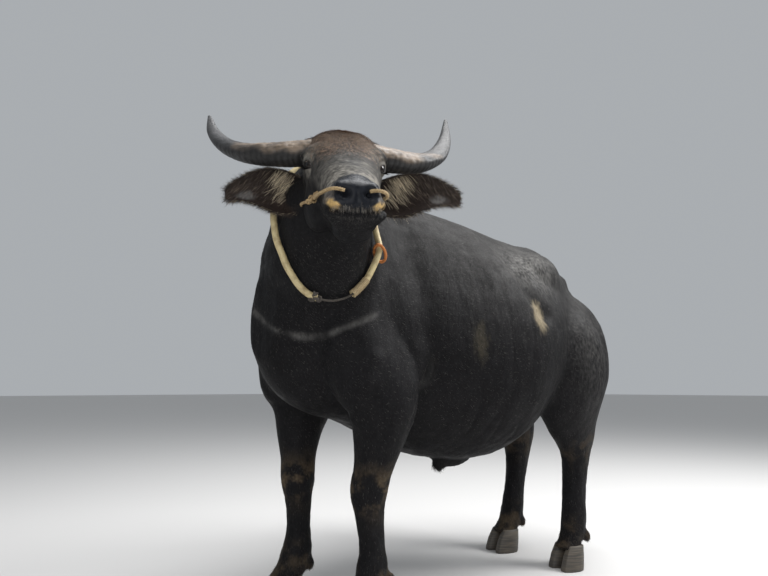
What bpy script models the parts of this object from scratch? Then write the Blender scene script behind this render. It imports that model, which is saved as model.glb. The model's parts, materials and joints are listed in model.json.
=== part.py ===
"""Water buffalo bull, swamp type, standing with the head up and turned to its left.

Metres, +Z up. The animal faces -Y and its left side is +X. The floor is z = 0.
Flesh is modelled whole as lofted masses, fused and smoothed, then parted with thin cuts.
"""
import math

import bmesh
import bpy
import numpy as np
from mathutils import Matrix, Vector
from mathutils.bvhtree import BVHTree

# Driving dimensions of the body, with the fore feet at y = 0 before centring
WITHERS = 1.45
GAP = 0.0003
BODY_VOXEL = 0.0085
BODY_TRIANGLES = 4050
HEAD_TRIANGLES = 2750
HEAD_FINE = 0.0034
BEND_FROM = 0.10
BEND_RADIUS = 4.0

# How far the left foot of each pair stands behind the middle of the pair
FORE_STAGGER, HIND_STAGGER = 0.05, 0.03

FLOOR_CENTRE = Vector((0.18323, 0.41239, 0.0))

# Carriage of the head: the poll, and how the face axis is turned and dipped
POLL = Vector((0.376, -0.261, 1.411))
HEAD_YAW = math.radians(58.3)
HEAD_DIP = math.radians(27.4)
HEAD_LENGTH, DRAWN_LENGTH = 0.51, 0.51
HEAD_SIZE = HEAD_LENGTH / DRAWN_LENGTH

EYE_AT = (0.085, 0.156, -0.052)
EYE_RADIUS = 0.0215
EYE_OPEN, EYE_WIDE, LID_THICK, EYE_TRIANGLES = 0.42, 0.80, 0.0035, 220

# Torso stations: y, top, bottom, half width, height of the widest, top and bottom squareness
TORSO = (
    (-0.290, 1.08, 0.80, 0.092, 0.93, 2.0, 2.0),
    (-0.220, 1.23, 0.70, 0.168, 0.95, 2.0, 2.0),
    (-0.110, 1.36, 0.63, 0.232, 0.96, 1.9, 2.1),
    (0.020, 1.430, 0.60, 0.268, 0.95, 1.7, 2.2),
    (0.160, WITHERS, 0.545, 0.310, 0.93, 1.65, 2.2),
    (0.320, 1.430, 0.475, 0.365, 0.88, 1.8, 2.1),
    (0.500, 1.400, 0.440, 0.415, 0.86, 1.95, 2.1),
    (0.680, 1.368, 0.450, 0.420, 0.86, 2.0, 2.1),
    (0.850, 1.350, 0.530, 0.370, 0.91, 2.0, 2.0),
    (1.000, 1.350, 0.650, 0.288, 0.97, 1.82, 2.0),
    (1.130, 1.250, 0.760, 0.215, 1.00, 1.7, 2.0),
    (1.220, 1.162, 0.830, 0.165, 1.01, 1.7, 2.0),
    (1.280, 1.090, 0.910, 0.105, 1.01, 2.0, 2.0),
)

# Leg stations: x, y, z, half width, half depth, for the left leg of each pair
FORELEG = (
    (0.150, 0.060, 1.24, 0.050, 0.100),
    (0.172, 0.015, 1.08, 0.080, 0.140),
    (0.180, -0.018, 0.92, 0.094, 0.160),
    (0.202, -0.010, 0.78, 0.104, 0.168),
    (0.214, 0.022, 0.67, 0.104, 0.126),
    (0.206, 0.012, 0.57, 0.084, 0.090),
    (0.183, 0.000, 0.47, 0.062, 0.064),
    (0.164, -0.008, 0.395, 0.057, 0.064),
    (0.158, -0.004, 0.325, 0.045, 0.050),
    (0.156, 0.004, 0.230, 0.040, 0.044),
    (0.155, 0.002, 0.155, 0.051, 0.054),
    (0.155, -0.022, 0.098, 0.048, 0.048),
    (0.155, -0.040, 0.060, 0.060, 0.060),
)
HINDLEG = (
    (0.130, 1.000, 1.19, 0.085, 0.130),
    (0.158, 0.995, 1.08, 0.097, 0.160),
    (0.200, 1.036, 0.94, 0.133, 0.220),
    (0.216, 1.042, 0.81, 0.133, 0.228),
    (0.208, 1.045, 0.69, 0.114, 0.206),
    (0.190, 1.066, 0.59, 0.086, 0.160),
    (0.174, 1.086, 0.505, 0.066, 0.116),
    (0.165, 1.086, 0.42, 0.051, 0.073),
    (0.162, 1.066, 0.29, 0.045, 0.053),
    (0.162, 1.048, 0.165, 0.050, 0.053),
    (0.162, 1.020, 0.100, 0.046, 0.046),
    (0.162, 1.000, 0.060, 0.057, 0.058),
)

# Neck stations: centre, half width, half height, from the chest to the throat
NECK = (
    ((0.000, 0.080, 1.10), 0.225, 0.290),
    ((0.020, -0.060, 1.12), 0.235, 0.285),
    ((0.100, -0.140, 1.17), 0.185, 0.250),
    ((0.180, -0.185, 1.225), 0.158, 0.208),
    ((0.250, -0.215, 1.27), 0.140, 0.168),
    ((0.325, -0.230, 1.30), 0.110, 0.125),
)

# Head stations in its own axes, for a head half a metre long: distance from the poll,
# top, bottom, half width, depth of the widest, top and bottom squareness
HEAD = (
    (-0.065, -0.045, -0.170, 0.070, -0.10, 2.0, 2.0),
    (-0.030, 0.025, -0.205, 0.099, -0.09, 2.6, 2.0),
    (0.030, 0.038, -0.235, 0.111, -0.085, 2.7, 1.8),
    (0.100, 0.031, -0.248, 0.110, -0.075, 2.5, 1.6),
    (0.170, 0.012, -0.240, 0.100, -0.070, 2.4, 1.5),
    (0.250, -0.014, -0.212, 0.084, -0.080, 2.3, 1.6),
    (0.330, -0.028, -0.182, 0.073, -0.090, 2.2, 1.8),
    (0.400, -0.036, -0.168, 0.068, -0.106, 2.0, 2.0),
    (0.455, -0.041, -0.162, 0.067, -0.112, 1.75, 2.2),
    (0.490, -0.052, -0.156, 0.065, -0.113, 1.75, 2.1),
    (0.508, -0.073, -0.138, 0.044, -0.108, 1.85, 2.0),
)

# Horn stations on the head, for the left horn: place, half width across, half depth.
# The left tip turns up further, and the right horn reaches a little further out.
HORN_LIFT, HORN_LONGER = (0.045, 0.0), (-0.024, 0.016)
HORN_RINGS, HORN_STEPS = 0.045, 5
HORN = (
    ((0.070, 0.020, -0.026), 0.054, 0.042),
    ((0.130, 0.012, -0.034), 0.052, 0.040),
    ((0.200, -0.010, -0.042), 0.047, 0.036),
    ((0.265, -0.050, -0.045), 0.041, 0.031),
    ((0.325, -0.112, -0.034), 0.032, 0.025),
    ((0.370, -0.190, -0.002), 0.020, 0.016),
    ((0.394, -0.275, 0.045), 0.005, 0.004),
)
HORN_SIDES = 10
EAR_ROOT = (0.080, 0.045, -0.140)
EAR_TIPS = ((0.388, -0.050, -0.148), (0.338, -0.060, -0.172))
EAR_ACROSS, EAR_FRONT = (0.05, -0.25, 1.0), (0.25, 1.0, 0.10)
EAR_WIDTH, EAR_TIP_WIDTH, EAR_THICK = 0.122, 0.014, 0.008
EAR_ROWS, EAR_COLUMNS = 12, 8
EAR_PROFILE = ((0.0, 0.50), (0.12, 0.74), (0.30, 1.0), (0.48, 0.97), (0.64, 0.77), (0.80, 0.55),
               (0.92, 0.42), (0.98, 0.27), (1.0, 0.13))

# Dewclaws behind each fetlock, the hip bones and the pin bones: place and half sizes
DEWCLAW, DEWCLAW_SIZE = (0.027, 0.088, 0.118), (0.017, 0.017, 0.026)
HIP, HIP_SIZE = (0.240, 0.815, 1.155), (0.100, 0.160, 0.108)
PIN, PIN_SIZE = (0.105, 1.220, 1.020), (0.060, 0.065, 0.080)

# Folds, hollows and ridges of the hide for the left side: sides, places along the line,
# reach across it and how far it stands out
RELIEF = (
    ((1,), ((-0.068, -0.300, 0.962), (0.060, -0.262, 0.898), (0.196, -0.208, 0.867),
            (0.301, -0.037, 0.948)), 0.012, -0.005),
    ((1, -1), ((0.220, 0.560, 1.320), (0.289, 0.583, 1.241), (0.330, 0.605, 1.190),
               (0.390, 0.635, 1.062), (0.400, 0.700, 0.980)), 0.040, -0.016),
    ((1, -1), ((0.180, 0.145, 1.290), (0.258, 0.133, 1.147), (0.300, 0.150, 1.005),
               (0.310, 0.165, 0.871), (0.294, 0.175, 0.790)), 0.050, -0.014),
    ((1, -1), ((0.300, 0.190, 0.800), (0.290, 0.168, 0.735), (0.283, 0.110, 0.680),
               (0.277, 0.075, 0.615)), 0.012, -0.011),
    ((1, -1), ((0.285, 0.135, 0.830), (0.290, 0.110, 0.750), (0.287, 0.062, 0.690),
               (0.275, 0.030, 0.630)), 0.035, 0.012),
    ((1, -1), ((0.285, -0.060, 0.800), (0.274, -0.085, 0.745), (0.249, -0.088, 0.694),
               (0.205, -0.066, 0.630)), 0.030, 0.014),
    ((1, -1), ((0.210, -0.170, 0.760), (0.190, -0.160, 0.700), (0.150, -0.120, 0.640)),
     0.032, -0.012),
    ((1, -1), ((0.150, 0.020, 1.300), (0.225, -0.015, 1.150), (0.265, -0.050, 1.000),
               (0.280, -0.080, 0.880)), 0.050, 0.010),
    ((1, -1), ((0.385, 0.830, 0.640), (0.355, 0.760, 0.560), (0.290, 0.660, 0.520)),
     0.030, 0.012),
    ((1, -1), ((0.300, 1.130, 1.000), (0.300, 1.160, 0.880), (0.270, 1.160, 0.740)),
     0.045, -0.012),
)

# Tail and switch stations: y, z, radius; the tail hangs a little to the right
TAIL_ASIDE = -0.025
TAIL = ((1.22, 1.13, 0.034), (1.300, 1.110, 0.032), (1.335, 1.03, 0.027), (1.340, 0.90, 0.021),
        (1.330, 0.76, 0.016), (1.320, 0.66, 0.013))
LOCKS, LOCK_RINGS = 12, 4
EAR_LOCKS = 5
SWITCH = ((1.320, 0.69, 0.020), (1.317, 0.62, 0.032), (1.312, 0.52, 0.034), (1.310, 0.42, 0.024),
          (1.310, 0.36, 0.008))

NOSTRIL_AT = (0.0285, 0.500, -0.071)
MOUTH_HEIGHT, MOUTH_CORNER = -0.108, 0.385

# Claws: rise as a share of the height, growth and lean back of each outline
CLAW_RISE = ((0.0, 1.0, 0.0), (0.12, 1.02, 0.001), (0.55, 0.93, 0.010), (1.0, 0.72, 0.022))
CLAW_HALF, CLEFT, CLAW_SIDES = 0.032, 0.006, 10

# Collar round the neck and rope through the nose
COLLAR_RADIUS, COLLAR_STEPS = 0.0105, 48
COLLAR_MIDDLE, COLLAR_LOWEST = (0.215, -0.185, 1.20), (0.245, -0.18, 0.965)
COLLAR_SIDE = (0.32, 0.93, 0.0)
COLLAR_GAP = 2
RING_STEP, RING_LIFT, RING_SPREAD = 9, 0.0125, 2.2
RING_RADIUS, RING_DEPTH, RING_WIRE = 0.033, 0.0185, 0.0055
RING_SHIFT, RING_LEAN = 0.012, 0.6
CORD_RADIUS = 0.0045
TIE_KNOTS = ((0.0, 0.0, 0.0, 0.014), (0.006, -0.010, 0.008, 0.010), (-0.008, -0.014, -0.006, 0.009))
ROPE_RADIUS = 0.004
ROPE_KNOT_STEP = 15
ROPE_KNOT = ((0.0, 0.0, 0.0, 0.011), (0.008, 0.003, 0.008, 0.010), (0.003, -0.010, -0.009, 0.010))
NOSE_ROPE = ((0.028, 0.497, -0.067), (0.045, 0.508, -0.061), (0.064, 0.488, -0.069),
             (0.076, 0.440, -0.085), (0.080, 0.360, -0.100), (0.083, 0.280, -0.120),
             (0.094, 0.200, -0.142), (0.107, 0.110, -0.166))

# Thin cuts that part the flesh, and the outlines of the leg cuts from the side
HEAD_CUT, HEAD_CUT_NORMAL = (0.355, -0.245, 1.30), (0.905, -0.425, 0.0)
NECK_CUT, NECK_CUT_NORMAL = (0.0, -0.30, 1.02), (0.35, -0.77, 0.54)
FORE_CUT = ((-0.40, -0.2), (0.175, -0.2), (0.175, 0.60), (-0.40, 0.60))
HIND_CUT = ((0.93, -0.2), (1.60, -0.2), (1.60, 0.86), (0.80, 0.78))
LEG_CUT_INNER, LEG_CUT_RISE = 0.045, 0.45

NOSE_AXIS = Vector((math.cos(HEAD_DIP) * math.sin(HEAD_YAW),
                    -math.cos(HEAD_DIP) * math.cos(HEAD_YAW), -math.sin(HEAD_DIP)))
BROW_AXIS = Vector((math.sin(HEAD_DIP) * math.sin(HEAD_YAW),
                    -math.sin(HEAD_DIP) * math.cos(HEAD_YAW), math.cos(HEAD_DIP)))
LEFT_AXIS = Vector((math.cos(HEAD_YAW), math.sin(HEAD_YAW), 0.0))


def clear_scene():
    for thing in list(bpy.data.objects):
        bpy.data.objects.remove(thing, do_unlink=True)


def head_point(left, along, out):
    """World point of a place on the head: to its left, along the nose, out of the brow."""
    return POLL + (LEFT_AXIS * left + NOSE_AXIS * along + BROW_AXIS * out) * HEAD_SIZE


def bent(point):
    """A point of the straight body, carried round the bend of the spine."""
    x, y, z = point
    if y <= BEND_FROM:
        return Vector((x, y, z))
    turn = (y - BEND_FROM) / BEND_RADIUS
    return Vector((BEND_RADIUS * (1 - math.cos(turn)) + x * math.cos(turn),
                   BEND_FROM + BEND_RADIUS * math.sin(turn) - x * math.sin(turn), z))


def smooth_rows(rows, steps):
    """Rows between the given ones, on a smooth curve through them."""
    rows = [np.array(row, float) for row in rows]
    ends = [2 * rows[0] - rows[1]] + rows + [2 * rows[-1] - rows[-2]]
    found = []
    for i in range(1, len(ends) - 2):
        a, b, c, d = ends[i - 1:i + 3]
        for step in range(steps):
            t = step / steps
            found.append(0.5 * (2 * b + (c - a) * t + (2 * a - 5 * b + 4 * c - d) * t * t
                                + (3 * b - a - 3 * c + d) * t ** 3))
    return found + [rows[-1]]


def oval(wide, over, under, top_power, low_power, sides):
    """Points of a rounded section as (side, up) pairs."""
    found = []
    for k in range(sides):
        angle = 2 * math.pi * k / sides
        c, s = math.cos(angle), math.sin(angle)
        power = top_power if s >= 0 else low_power
        reach = over if s >= 0 else under
        found.append((wide * math.copysign(abs(c) ** (2 / power), c),
                      reach * math.copysign(abs(s) ** (2 / power), s)))
    return found


def new_object(name, mesh):
    thing = bpy.data.objects.new(name, mesh)
    bpy.context.scene.collection.objects.link(thing)
    return thing


def mesh_from(name, points, faces):
    mesh = bpy.data.meshes.new(name)
    mesh.from_pydata([tuple(p) for p in points], [], faces)
    mesh.update()
    return mesh


def loft(name, rings):
    """A closed solid through rings of points, with flat ends and its faces pointing out."""
    sides = len(rings[0])
    points = [p for ring in rings for p in ring]
    faces = [tuple(reversed(range(sides)))]
    for i in range(len(rings) - 1):
        for k in range(sides):
            a, b = i * sides + k, i * sides + (k + 1) % sides
            faces.append((a, b, b + sides, a + sides))
    faces.append(tuple(range((len(rings) - 1) * sides, len(rings) * sides)))
    mesh = mesh_from(name, points, faces)
    outward(mesh)
    return new_object(name, mesh)


def outward(mesh):
    bm = bmesh.new()
    bm.from_mesh(mesh)
    bmesh.ops.recalc_face_normals(bm, faces=bm.faces)
    if bm.calc_volume(signed=True) < 0:
        bmesh.ops.reverse_faces(bm, faces=bm.faces)
    bm.to_mesh(mesh)
    bm.free()


def limb(name, stations, sides=24, steps=4):
    """A tube of oval rings along centre points given with a half width and a half depth."""
    rows = smooth_rows([(*s[0], s[1], s[2]) for s in stations], steps)
    rings = []
    for i, row in enumerate(rows):
        before, after = rows[max(i - 1, 0)], rows[min(i + 1, len(rows) - 1)]
        along = Vector(after[:3] - before[:3]).normalized()
        side = Vector((1, 0, 0)) if abs(along.z) > 0.75 else along.cross(Vector((0, 0, 1)))
        side = (side - along * side.dot(along)).normalized()
        up = side.cross(along)
        centre = Vector(row[:3])
        rings.append([centre + side * a + up * b
                      for a, b in oval(row[3], row[4], row[4], 2, 2, sides)])
    return loft(name, rings)


def blob(name, centre, sizes, axes=None):
    """An ellipsoid at a place, with half sizes along its own axes."""
    bm = bmesh.new()
    bmesh.ops.create_icosphere(bm, subdivisions=4, radius=1.0)
    turn = Matrix(axes).transposed() if axes else Matrix.Identity(3)
    for v in bm.verts:
        v.co = turn @ Vector(a * b for a, b in zip(v.co, sizes)) + Vector(centre)
    mesh = bpy.data.meshes.new(name)
    bm.to_mesh(mesh)
    bm.free()
    outward(mesh)
    return new_object(name, mesh)


def head_blob(name, at, sizes):
    return blob(name, head_point(*at), [HEAD_SIZE * size for size in sizes],
                (LEFT_AXIS, NOSE_AXIS, BROW_AXIS))


def applied(thing):
    """The object with its modifiers worked into its mesh."""
    bpy.context.view_layer.update()
    graph = bpy.context.evaluated_depsgraph_get()
    mesh = bpy.data.meshes.new_from_object(thing.evaluated_get(graph))
    old = thing.data
    thing.modifiers.clear()
    thing.data = mesh
    bpy.data.meshes.remove(old)
    return thing


def joined(name, things):
    bm = bmesh.new()
    for thing in things:
        bm.from_mesh(thing.data)
        bpy.data.objects.remove(thing, do_unlink=True)
    mesh = bpy.data.meshes.new(name)
    bm.to_mesh(mesh)
    bm.free()
    return new_object(name, mesh)


def fused(name, things, voxel, rounds):
    """The masses grown into one smooth body."""
    body = joined(name, things)
    remesh = body.modifiers.new("fuse", "REMESH")
    remesh.mode, remesh.voxel_size = "VOXEL", voxel
    soften = body.modifiers.new("soften", "SMOOTH")
    soften.factor, soften.iterations = 0.5, rounds
    return applied(body)


def torso_mass():
    rings = []
    for y, top, low, wide, mid, top_power, low_power in smooth_rows(TORSO, 4):
        rings.append([bent((a, y, mid + b))
                      for a, b in oval(wide, top - mid, mid - low, top_power, low_power, 40)])
    return loft("torso_mass", rings)


def head_mass():
    rings = []
    for along, top, low, wide, mid, top_power, low_power in smooth_rows(HEAD, 4):
        rings.append([head_point(a, along, mid + b)
                      for a, b in oval(wide, top - mid, mid - low, top_power, low_power, 32)])
    return loft("head_mass", rings)


def leg_stations(rows, side, stagger, foot_from):
    """Stations of one leg: mirrored, and with its foot moved fore or aft by the stagger."""
    found = []
    for x, y, z, wide, deep in rows:
        share = min(max((foot_from - z) / foot_from, 0.0), 1.0)
        moved = y + (stagger if side > 0 else -stagger) * share
        found.append((bent((side * x, moved, z)), wide, deep))
    return found


def flesh_masses():
    masses = [torso_mass(), head_mass(), limb("neck_mass", NECK)]
    for side in (1, -1):
        masses.append(limb("fore", leg_stations(FORELEG, side, FORE_STAGGER, 0.9)))
        masses.append(limb("hind", leg_stations(HINDLEG, side, HIND_STAGGER, 0.9)))
        masses.append(head_blob("orbit", (side * 0.088, 0.135, -0.035), (0.030, 0.045, 0.035)))
        masses.append(head_blob("cheek", (side * 0.065, 0.13, -0.16), (0.042, 0.10, 0.075)))
        masses.append(head_blob("nostril", (side * 0.029, 0.470, -0.070), (0.023, 0.030, 0.023)))
        masses.append(head_blob("brow", (side * 0.074, 0.128, -0.014), (0.032, 0.036, 0.022)))
        masses.append(head_blob("boss", (side * 0.085, 0.005, -0.028), (0.045, 0.050, 0.040)))
    masses.append(head_blob("chin", (0, 0.44, -0.165), (0.048, 0.045, 0.030)))
    masses.append(blob("sheath", bent((0, 0.57, 0.455)), (0.040, 0.11, 0.050)))
    masses.append(blob("sheath_tip", bent((0, 0.50, 0.425)), (0.026, 0.035, 0.030)))
    for side in (1, -1):
        for rows, stagger in ((FORELEG, FORE_STAGGER), (HINDLEG, HIND_STAGGER)):
            x, y = rows[-1][0] * side, rows[-1][1] + stagger * side
            for half in (1, -1):
                at = bent((x + half * DEWCLAW[0], y + DEWCLAW[1], DEWCLAW[2]))
                masses.append(blob("dewclaw", at, DEWCLAW_SIZE))
        masses.append(blob("hip", bent((side * HIP[0], *HIP[1:])), HIP_SIZE))
        masses.append(blob("pin", bent((side * PIN[0], *PIN[1:])), PIN_SIZE))
    return masses


def material(name, colour, roughness):
    found = bpy.data.materials.new(name)
    found.use_nodes = True
    shader = found.node_tree.nodes["Principled BSDF"]
    shader.inputs["Base Color"].default_value = (*colour, 1.0)
    shader.inputs["Roughness"].default_value = roughness
    return found


def finish(thing, name, look):
    """Names a node, gives it its material and shades it smooth."""
    thing.name = thing.data.name = name
    thing.data.materials.clear()
    thing.data.materials.append(look)
    thing.data.shade_smooth()
    return thing


def copied(thing, name):
    mesh = thing.data.copy()
    return new_object(name, mesh)


def grown(thing, amount):
    """A helper copy pushed out along its normals, which keeps neighbours apart."""
    copy = copied(thing, thing.name + "_grown")
    push = copy.modifiers.new("push", "DISPLACE")
    push.mid_level, push.strength = 0.0, amount
    return applied(copy)


def boolean(thing, other, operation):
    """The other mesh cut from, kept in or added to the first, worked into its mesh."""
    cut = thing.modifiers.new("cut", "BOOLEAN")
    cut.operation, cut.object, cut.solver = operation, other, "EXACT"
    applied(thing)
    return keep_largest(thing)


def clear_of(thing, *others):
    """The thing with each of the others cut from it."""
    for other in others:
        boolean(thing, other, "DIFFERENCE")


def keep_largest(thing):
    """Drops loose scraps, so that the node is its largest closed surface."""
    bm = bmesh.new()
    bm.from_mesh(thing.data)
    left, groups = set(bm.verts), []
    while left:
        stack, group = [left.pop()], []
        while stack:
            v = stack.pop()
            group.append(v)
            for edge in v.link_edges:
                other = edge.other_vert(v)
                if other in left:
                    left.remove(other)
                    stack.append(other)
        groups.append(group)
    groups.sort(key=len)
    for group in groups[:-1]:
        bmesh.ops.delete(bm, geom=group, context="VERTS")
    bm.to_mesh(thing.data)
    bm.free()
    return thing


def remove(*things):
    for thing in things:
        bpy.data.objects.remove(thing, do_unlink=True)


def parted(flesh, cutter, name):
    """The flesh inside the cutter as a new object; the flesh outside stays, a gap away."""
    piece = boolean(copied(flesh, name), cutter, "INTERSECT")
    wider = grown(cutter, GAP * math.sqrt(3))
    boolean(flesh, wider, "DIFFERENCE")
    remove(cutter, wider)
    return piece


def plane_box(point, normal):
    """A large block whose one face passes through the point, on the side of the normal."""
    bm = bmesh.new()
    bmesh.ops.create_cube(bm, size=4.0)
    turn = Vector(normal).to_track_quat("Z", "Y").to_matrix()
    for v in bm.verts:
        v.co = turn @ (v.co + Vector((0, 0, 2.0))) + Vector(point)
    mesh = bpy.data.meshes.new("block")
    bm.to_mesh(mesh)
    bm.free()
    outward(mesh)
    return new_object("block", mesh)


def leg_block(outline, inner, outer, rise, side):
    """A prism across one leg: its outline from the side, leaning up as it goes outwards."""
    points = []
    for x in (inner, outer):
        points += [bent((side * x, y, z + rise * (x - inner))) for y, z in outline]
    count = len(outline)
    faces = [tuple(range(count)), tuple(range(count, 2 * count))]
    faces += [(k, (k + 1) % count, (k + 1) % count + count, k + count) for k in range(count)]
    bm = bmesh.new()
    mesh = mesh_from("leg_block", points, faces)
    bm.from_mesh(mesh)
    bmesh.ops.triangulate(bm, faces=bm.faces)
    bm.to_mesh(mesh)
    bm.free()
    outward(mesh)
    return new_object("leg_block", mesh)


def sliced(thing, point, normal, clear):
    """Keeps the part on the side of the normal, its cut closed with a flat face."""
    normal = Vector(normal).normalized()
    bm = bmesh.new()
    bm.from_mesh(thing.data)
    bmesh.ops.bisect_plane(bm, geom=list(bm.verts) + list(bm.edges) + list(bm.faces),
                           plane_co=Vector(point) + normal * clear, plane_no=normal,
                           clear_inner=True)
    rim = [edge for edge in bm.edges if edge.is_boundary]
    bmesh.ops.contextual_create(bm, geom=rim)
    bmesh.ops.triangulate(bm, faces=[face for face in bm.faces if len(face.verts) > 4])
    bmesh.ops.recalc_face_normals(bm, faces=bm.faces)
    bm.to_mesh(thing.data)
    bm.free()
    return keep_largest(thing)


def eye_centre(side):
    return head_point(side * EYE_AT[0], EYE_AT[1], EYE_AT[2])


def finer(thing, keep, longest):
    """Splits the edges of the kept region until none is longer than this."""
    bm = bmesh.new()
    bm.from_mesh(thing.data)
    while True:
        edges = [edge for edge in bm.edges if edge.calc_length() > longest
                 and keep((edge.verts[0].co + edge.verts[1].co) / 2)]
        if not edges:
            break
        bmesh.ops.subdivide_edges(bm, edges=edges, cuts=1, use_grid_fill=True)
        bmesh.ops.triangulate(bm, faces=[f for f in bm.faces if len(f.verts) > 4])
    bm.to_mesh(thing.data)
    bm.free()


def points_of(mesh):
    """The places and normals of a mesh's points, as arrays."""
    points = np.empty(len(mesh.vertices) * 3)
    normals = np.empty(len(mesh.vertices) * 3)
    mesh.vertices.foreach_get("co", points)
    mesh.vertices.foreach_get("normal", normals)
    return points.reshape(-1, 3), normals.reshape(-1, 3)


def off_line(points, line):
    """Distance of each point from a line through places."""
    nearest = np.full(len(points), np.inf)
    for a, b in zip(line, line[1:]):
        share = np.clip((points - a) @ (b - a) / ((b - a) @ (b - a)), 0, 1)
        away = np.linalg.norm(points - (a + share[:, None] * (b - a)), axis=1)
        nearest = np.minimum(nearest, away)
    return nearest


def shape_body(flesh):
    """Folds, hollows and ridges worked into the fused flesh."""
    mesh = flesh.data
    points, normals = points_of(mesh)
    push = np.zeros(len(points))
    for sides, places, reach, height in RELIEF:
        for side in sides:
            line = [np.array(bent((side * row[0], row[1], row[2])))
                    for row in smooth_rows(places, 3)]
            push += height * np.exp(-(off_line(points, line) / reach) ** 2)
    points += normals * push[:, None]
    mesh.vertices.foreach_set("co", points.ravel())
    mesh.update()


def shape_head(flesh):
    """Lids, nostrils, lips and the line of the mouth, worked into the fused flesh."""
    finer(flesh, in_face, HEAD_FINE * 1.5)
    mesh = flesh.data
    points, normals = points_of(mesh)
    axes = np.array([LEFT_AXIS, NOSE_AXIS, BROW_AXIS])
    local = (points - np.array(POLL)) @ axes.T / HEAD_SIZE
    push = face_relief(local)
    points += normals * (push * HEAD_SIZE)[:, None]
    for side in (1, -1):
        points = lidded(points, side)
    mesh.vertices.foreach_set("co", points.ravel())
    mesh.update()


def in_face(point):
    """Whether a place is near the eyes or the muzzle, where the head is made finest."""
    away = point - POLL
    along = away.dot(NOSE_AXIS) / HEAD_SIZE
    if along > 0.40:
        return True
    return any((point - eye_centre(side)).length < 0.045 for side in (1, -1))


def near(local, at, reach):
    """A soft round falloff about a place on the head."""
    away = (local - np.array(at)) / np.array(reach)
    return np.exp(-(away ** 2).sum(axis=1))


def face_relief(local):
    """How far each point of the head is pushed out, in metres."""
    left, along, out = np.abs(local[:, 0]), local[:, 1], local[:, 2]
    folded = np.stack([left, along, out], 1)
    push = -0.018 * near(folded, NOSTRIL_AT, (0.0115, 0.030, 0.0085))
    push += 0.004 * near(folded, (0.041, 0.488, -0.066), (0.008, 0.03, 0.018))
    mouth = MOUTH_HEIGHT - 0.05 * np.clip((0.47 - along) / 0.2, 0, 1)
    line = np.exp(-((out - mouth) / 0.0045) ** 2)
    reach = 1 / (1 + np.exp(-(along - MOUTH_CORNER) / 0.008))
    push -= 0.008 * line * reach
    push += 0.004 * np.exp(-((out - mouth - 0.014) / 0.009) ** 2) * reach
    push += 0.004 * np.exp(-((out - mouth + 0.013) / 0.009) ** 2) * reach
    push -= 0.0025 * near(folded, (0.0, 0.505, -0.092), (0.004, 0.05, 0.022))
    return push


def lidded(points, side):
    """Skin round one eye drawn over the ball, with an almond opening left between lids."""
    centre = np.array(eye_centre(side))
    gaze = (LEFT_AXIS * side * 0.80 + NOSE_AXIS * 0.52 + BROW_AXIS * 0.22).normalized()
    along = (NOSE_AXIS - gaze * gaze.dot(NOSE_AXIS)).normalized()
    up = gaze.cross(along) * side
    away = points - centre
    reach = np.linalg.norm(away, axis=1)
    heading = away / reach[:, None]
    a, b, g = (heading @ np.array(axis) for axis in (along, up, gaze))
    near_ball = (reach < EYE_RADIUS * 2.2) & (g > 0)
    opening = EYE_OPEN * np.clip(1 - (a / EYE_WIDE) ** 2, 0, 1)
    inside = np.clip((opening - np.abs(b)) / 0.10, 0, 1)
    lid = EYE_RADIUS + LID_THICK
    target = lid + (EYE_RADIUS * 0.72 - lid) * inside
    share = np.clip((g - 0.30) / 0.35, 0, 1) * near_ball
    share = share * share * (3 - 2 * share)
    moved = centre + heading * (reach + (target - reach) * share)[:, None]
    return moved


def thinned(thing, triangles):
    """The mesh brought down to about this many triangles."""
    thing.data.calc_loop_triangles()
    thin = thing.modifiers.new("thin", "DECIMATE")
    thin.ratio = triangles / len(thing.data.loop_triangles)
    return applied(thing)


def strip_mesh(name, rows):
    """A tube of triangles through rings of points, split alike all round."""
    thing = loft(name, rows)
    bm = bmesh.new()
    bm.from_mesh(thing.data)
    bmesh.ops.triangulate(bm, faces=bm.faces)
    bm.to_mesh(thing.data)
    bm.free()
    return thing


def horn_swell(angle):
    """The section of a horn: a keel in front, flatter above and below it."""
    keel = 0.20 * max(math.cos(angle - 0.30), 0) ** 4
    over = 0.10 * max(math.cos(angle - 1.45), 0) ** 2
    under = 0.07 * max(math.cos(angle + 0.95), 0) ** 2
    return 1 + keel - over - under


def horn(side):
    """A crescent horn: keeled, ringed across, its tip turned up."""
    lift, longer = HORN_LIFT[side < 0], HORN_LONGER[side < 0]
    rows = smooth_rows([(*at, wide, deep) for at, wide, deep in HORN], HORN_STEPS)
    for i, row in enumerate(rows):
        share = i / (len(rows) - 1)
        row[:3] += np.array((longer * share, 0.0, lift * share ** 3))
    rings = []
    for i, row in enumerate(rows):
        before, after = rows[max(i - 1, 0)], rows[min(i + 1, len(rows) - 1)]
        along = Vector(after[:3] - before[:3]).normalized()
        up = (Vector((0, 0, 1)) - along * along.z).normalized()
        fore = along.cross(up)
        share = i / (len(rows) - 1)
        ring_wave = 1 + HORN_RINGS * (-1) ** i * (0.9 - share) if share < 0.9 else 1
        ring = []
        for k in range(HORN_SIDES):
            angle = 2 * math.pi * k / HORN_SIDES
            a = row[3] * math.cos(angle) * horn_swell(angle) * ring_wave
            b = row[4] * math.sin(angle) * horn_swell(angle) * ring_wave
            at = Vector(row[:3]) - fore * a + up * b
            ring.append(head_point(side * at.x, at.y, at.z))
        rings.append(ring)
    return strip_mesh("horn", rings)


def ear_way(side, way):
    """A direction given for the left ear, in the world and for the ear of this side."""
    return LEFT_AXIS * side * way[0] + NOSE_AXIS * way[1] + BROW_AXIS * way[2]


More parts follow.
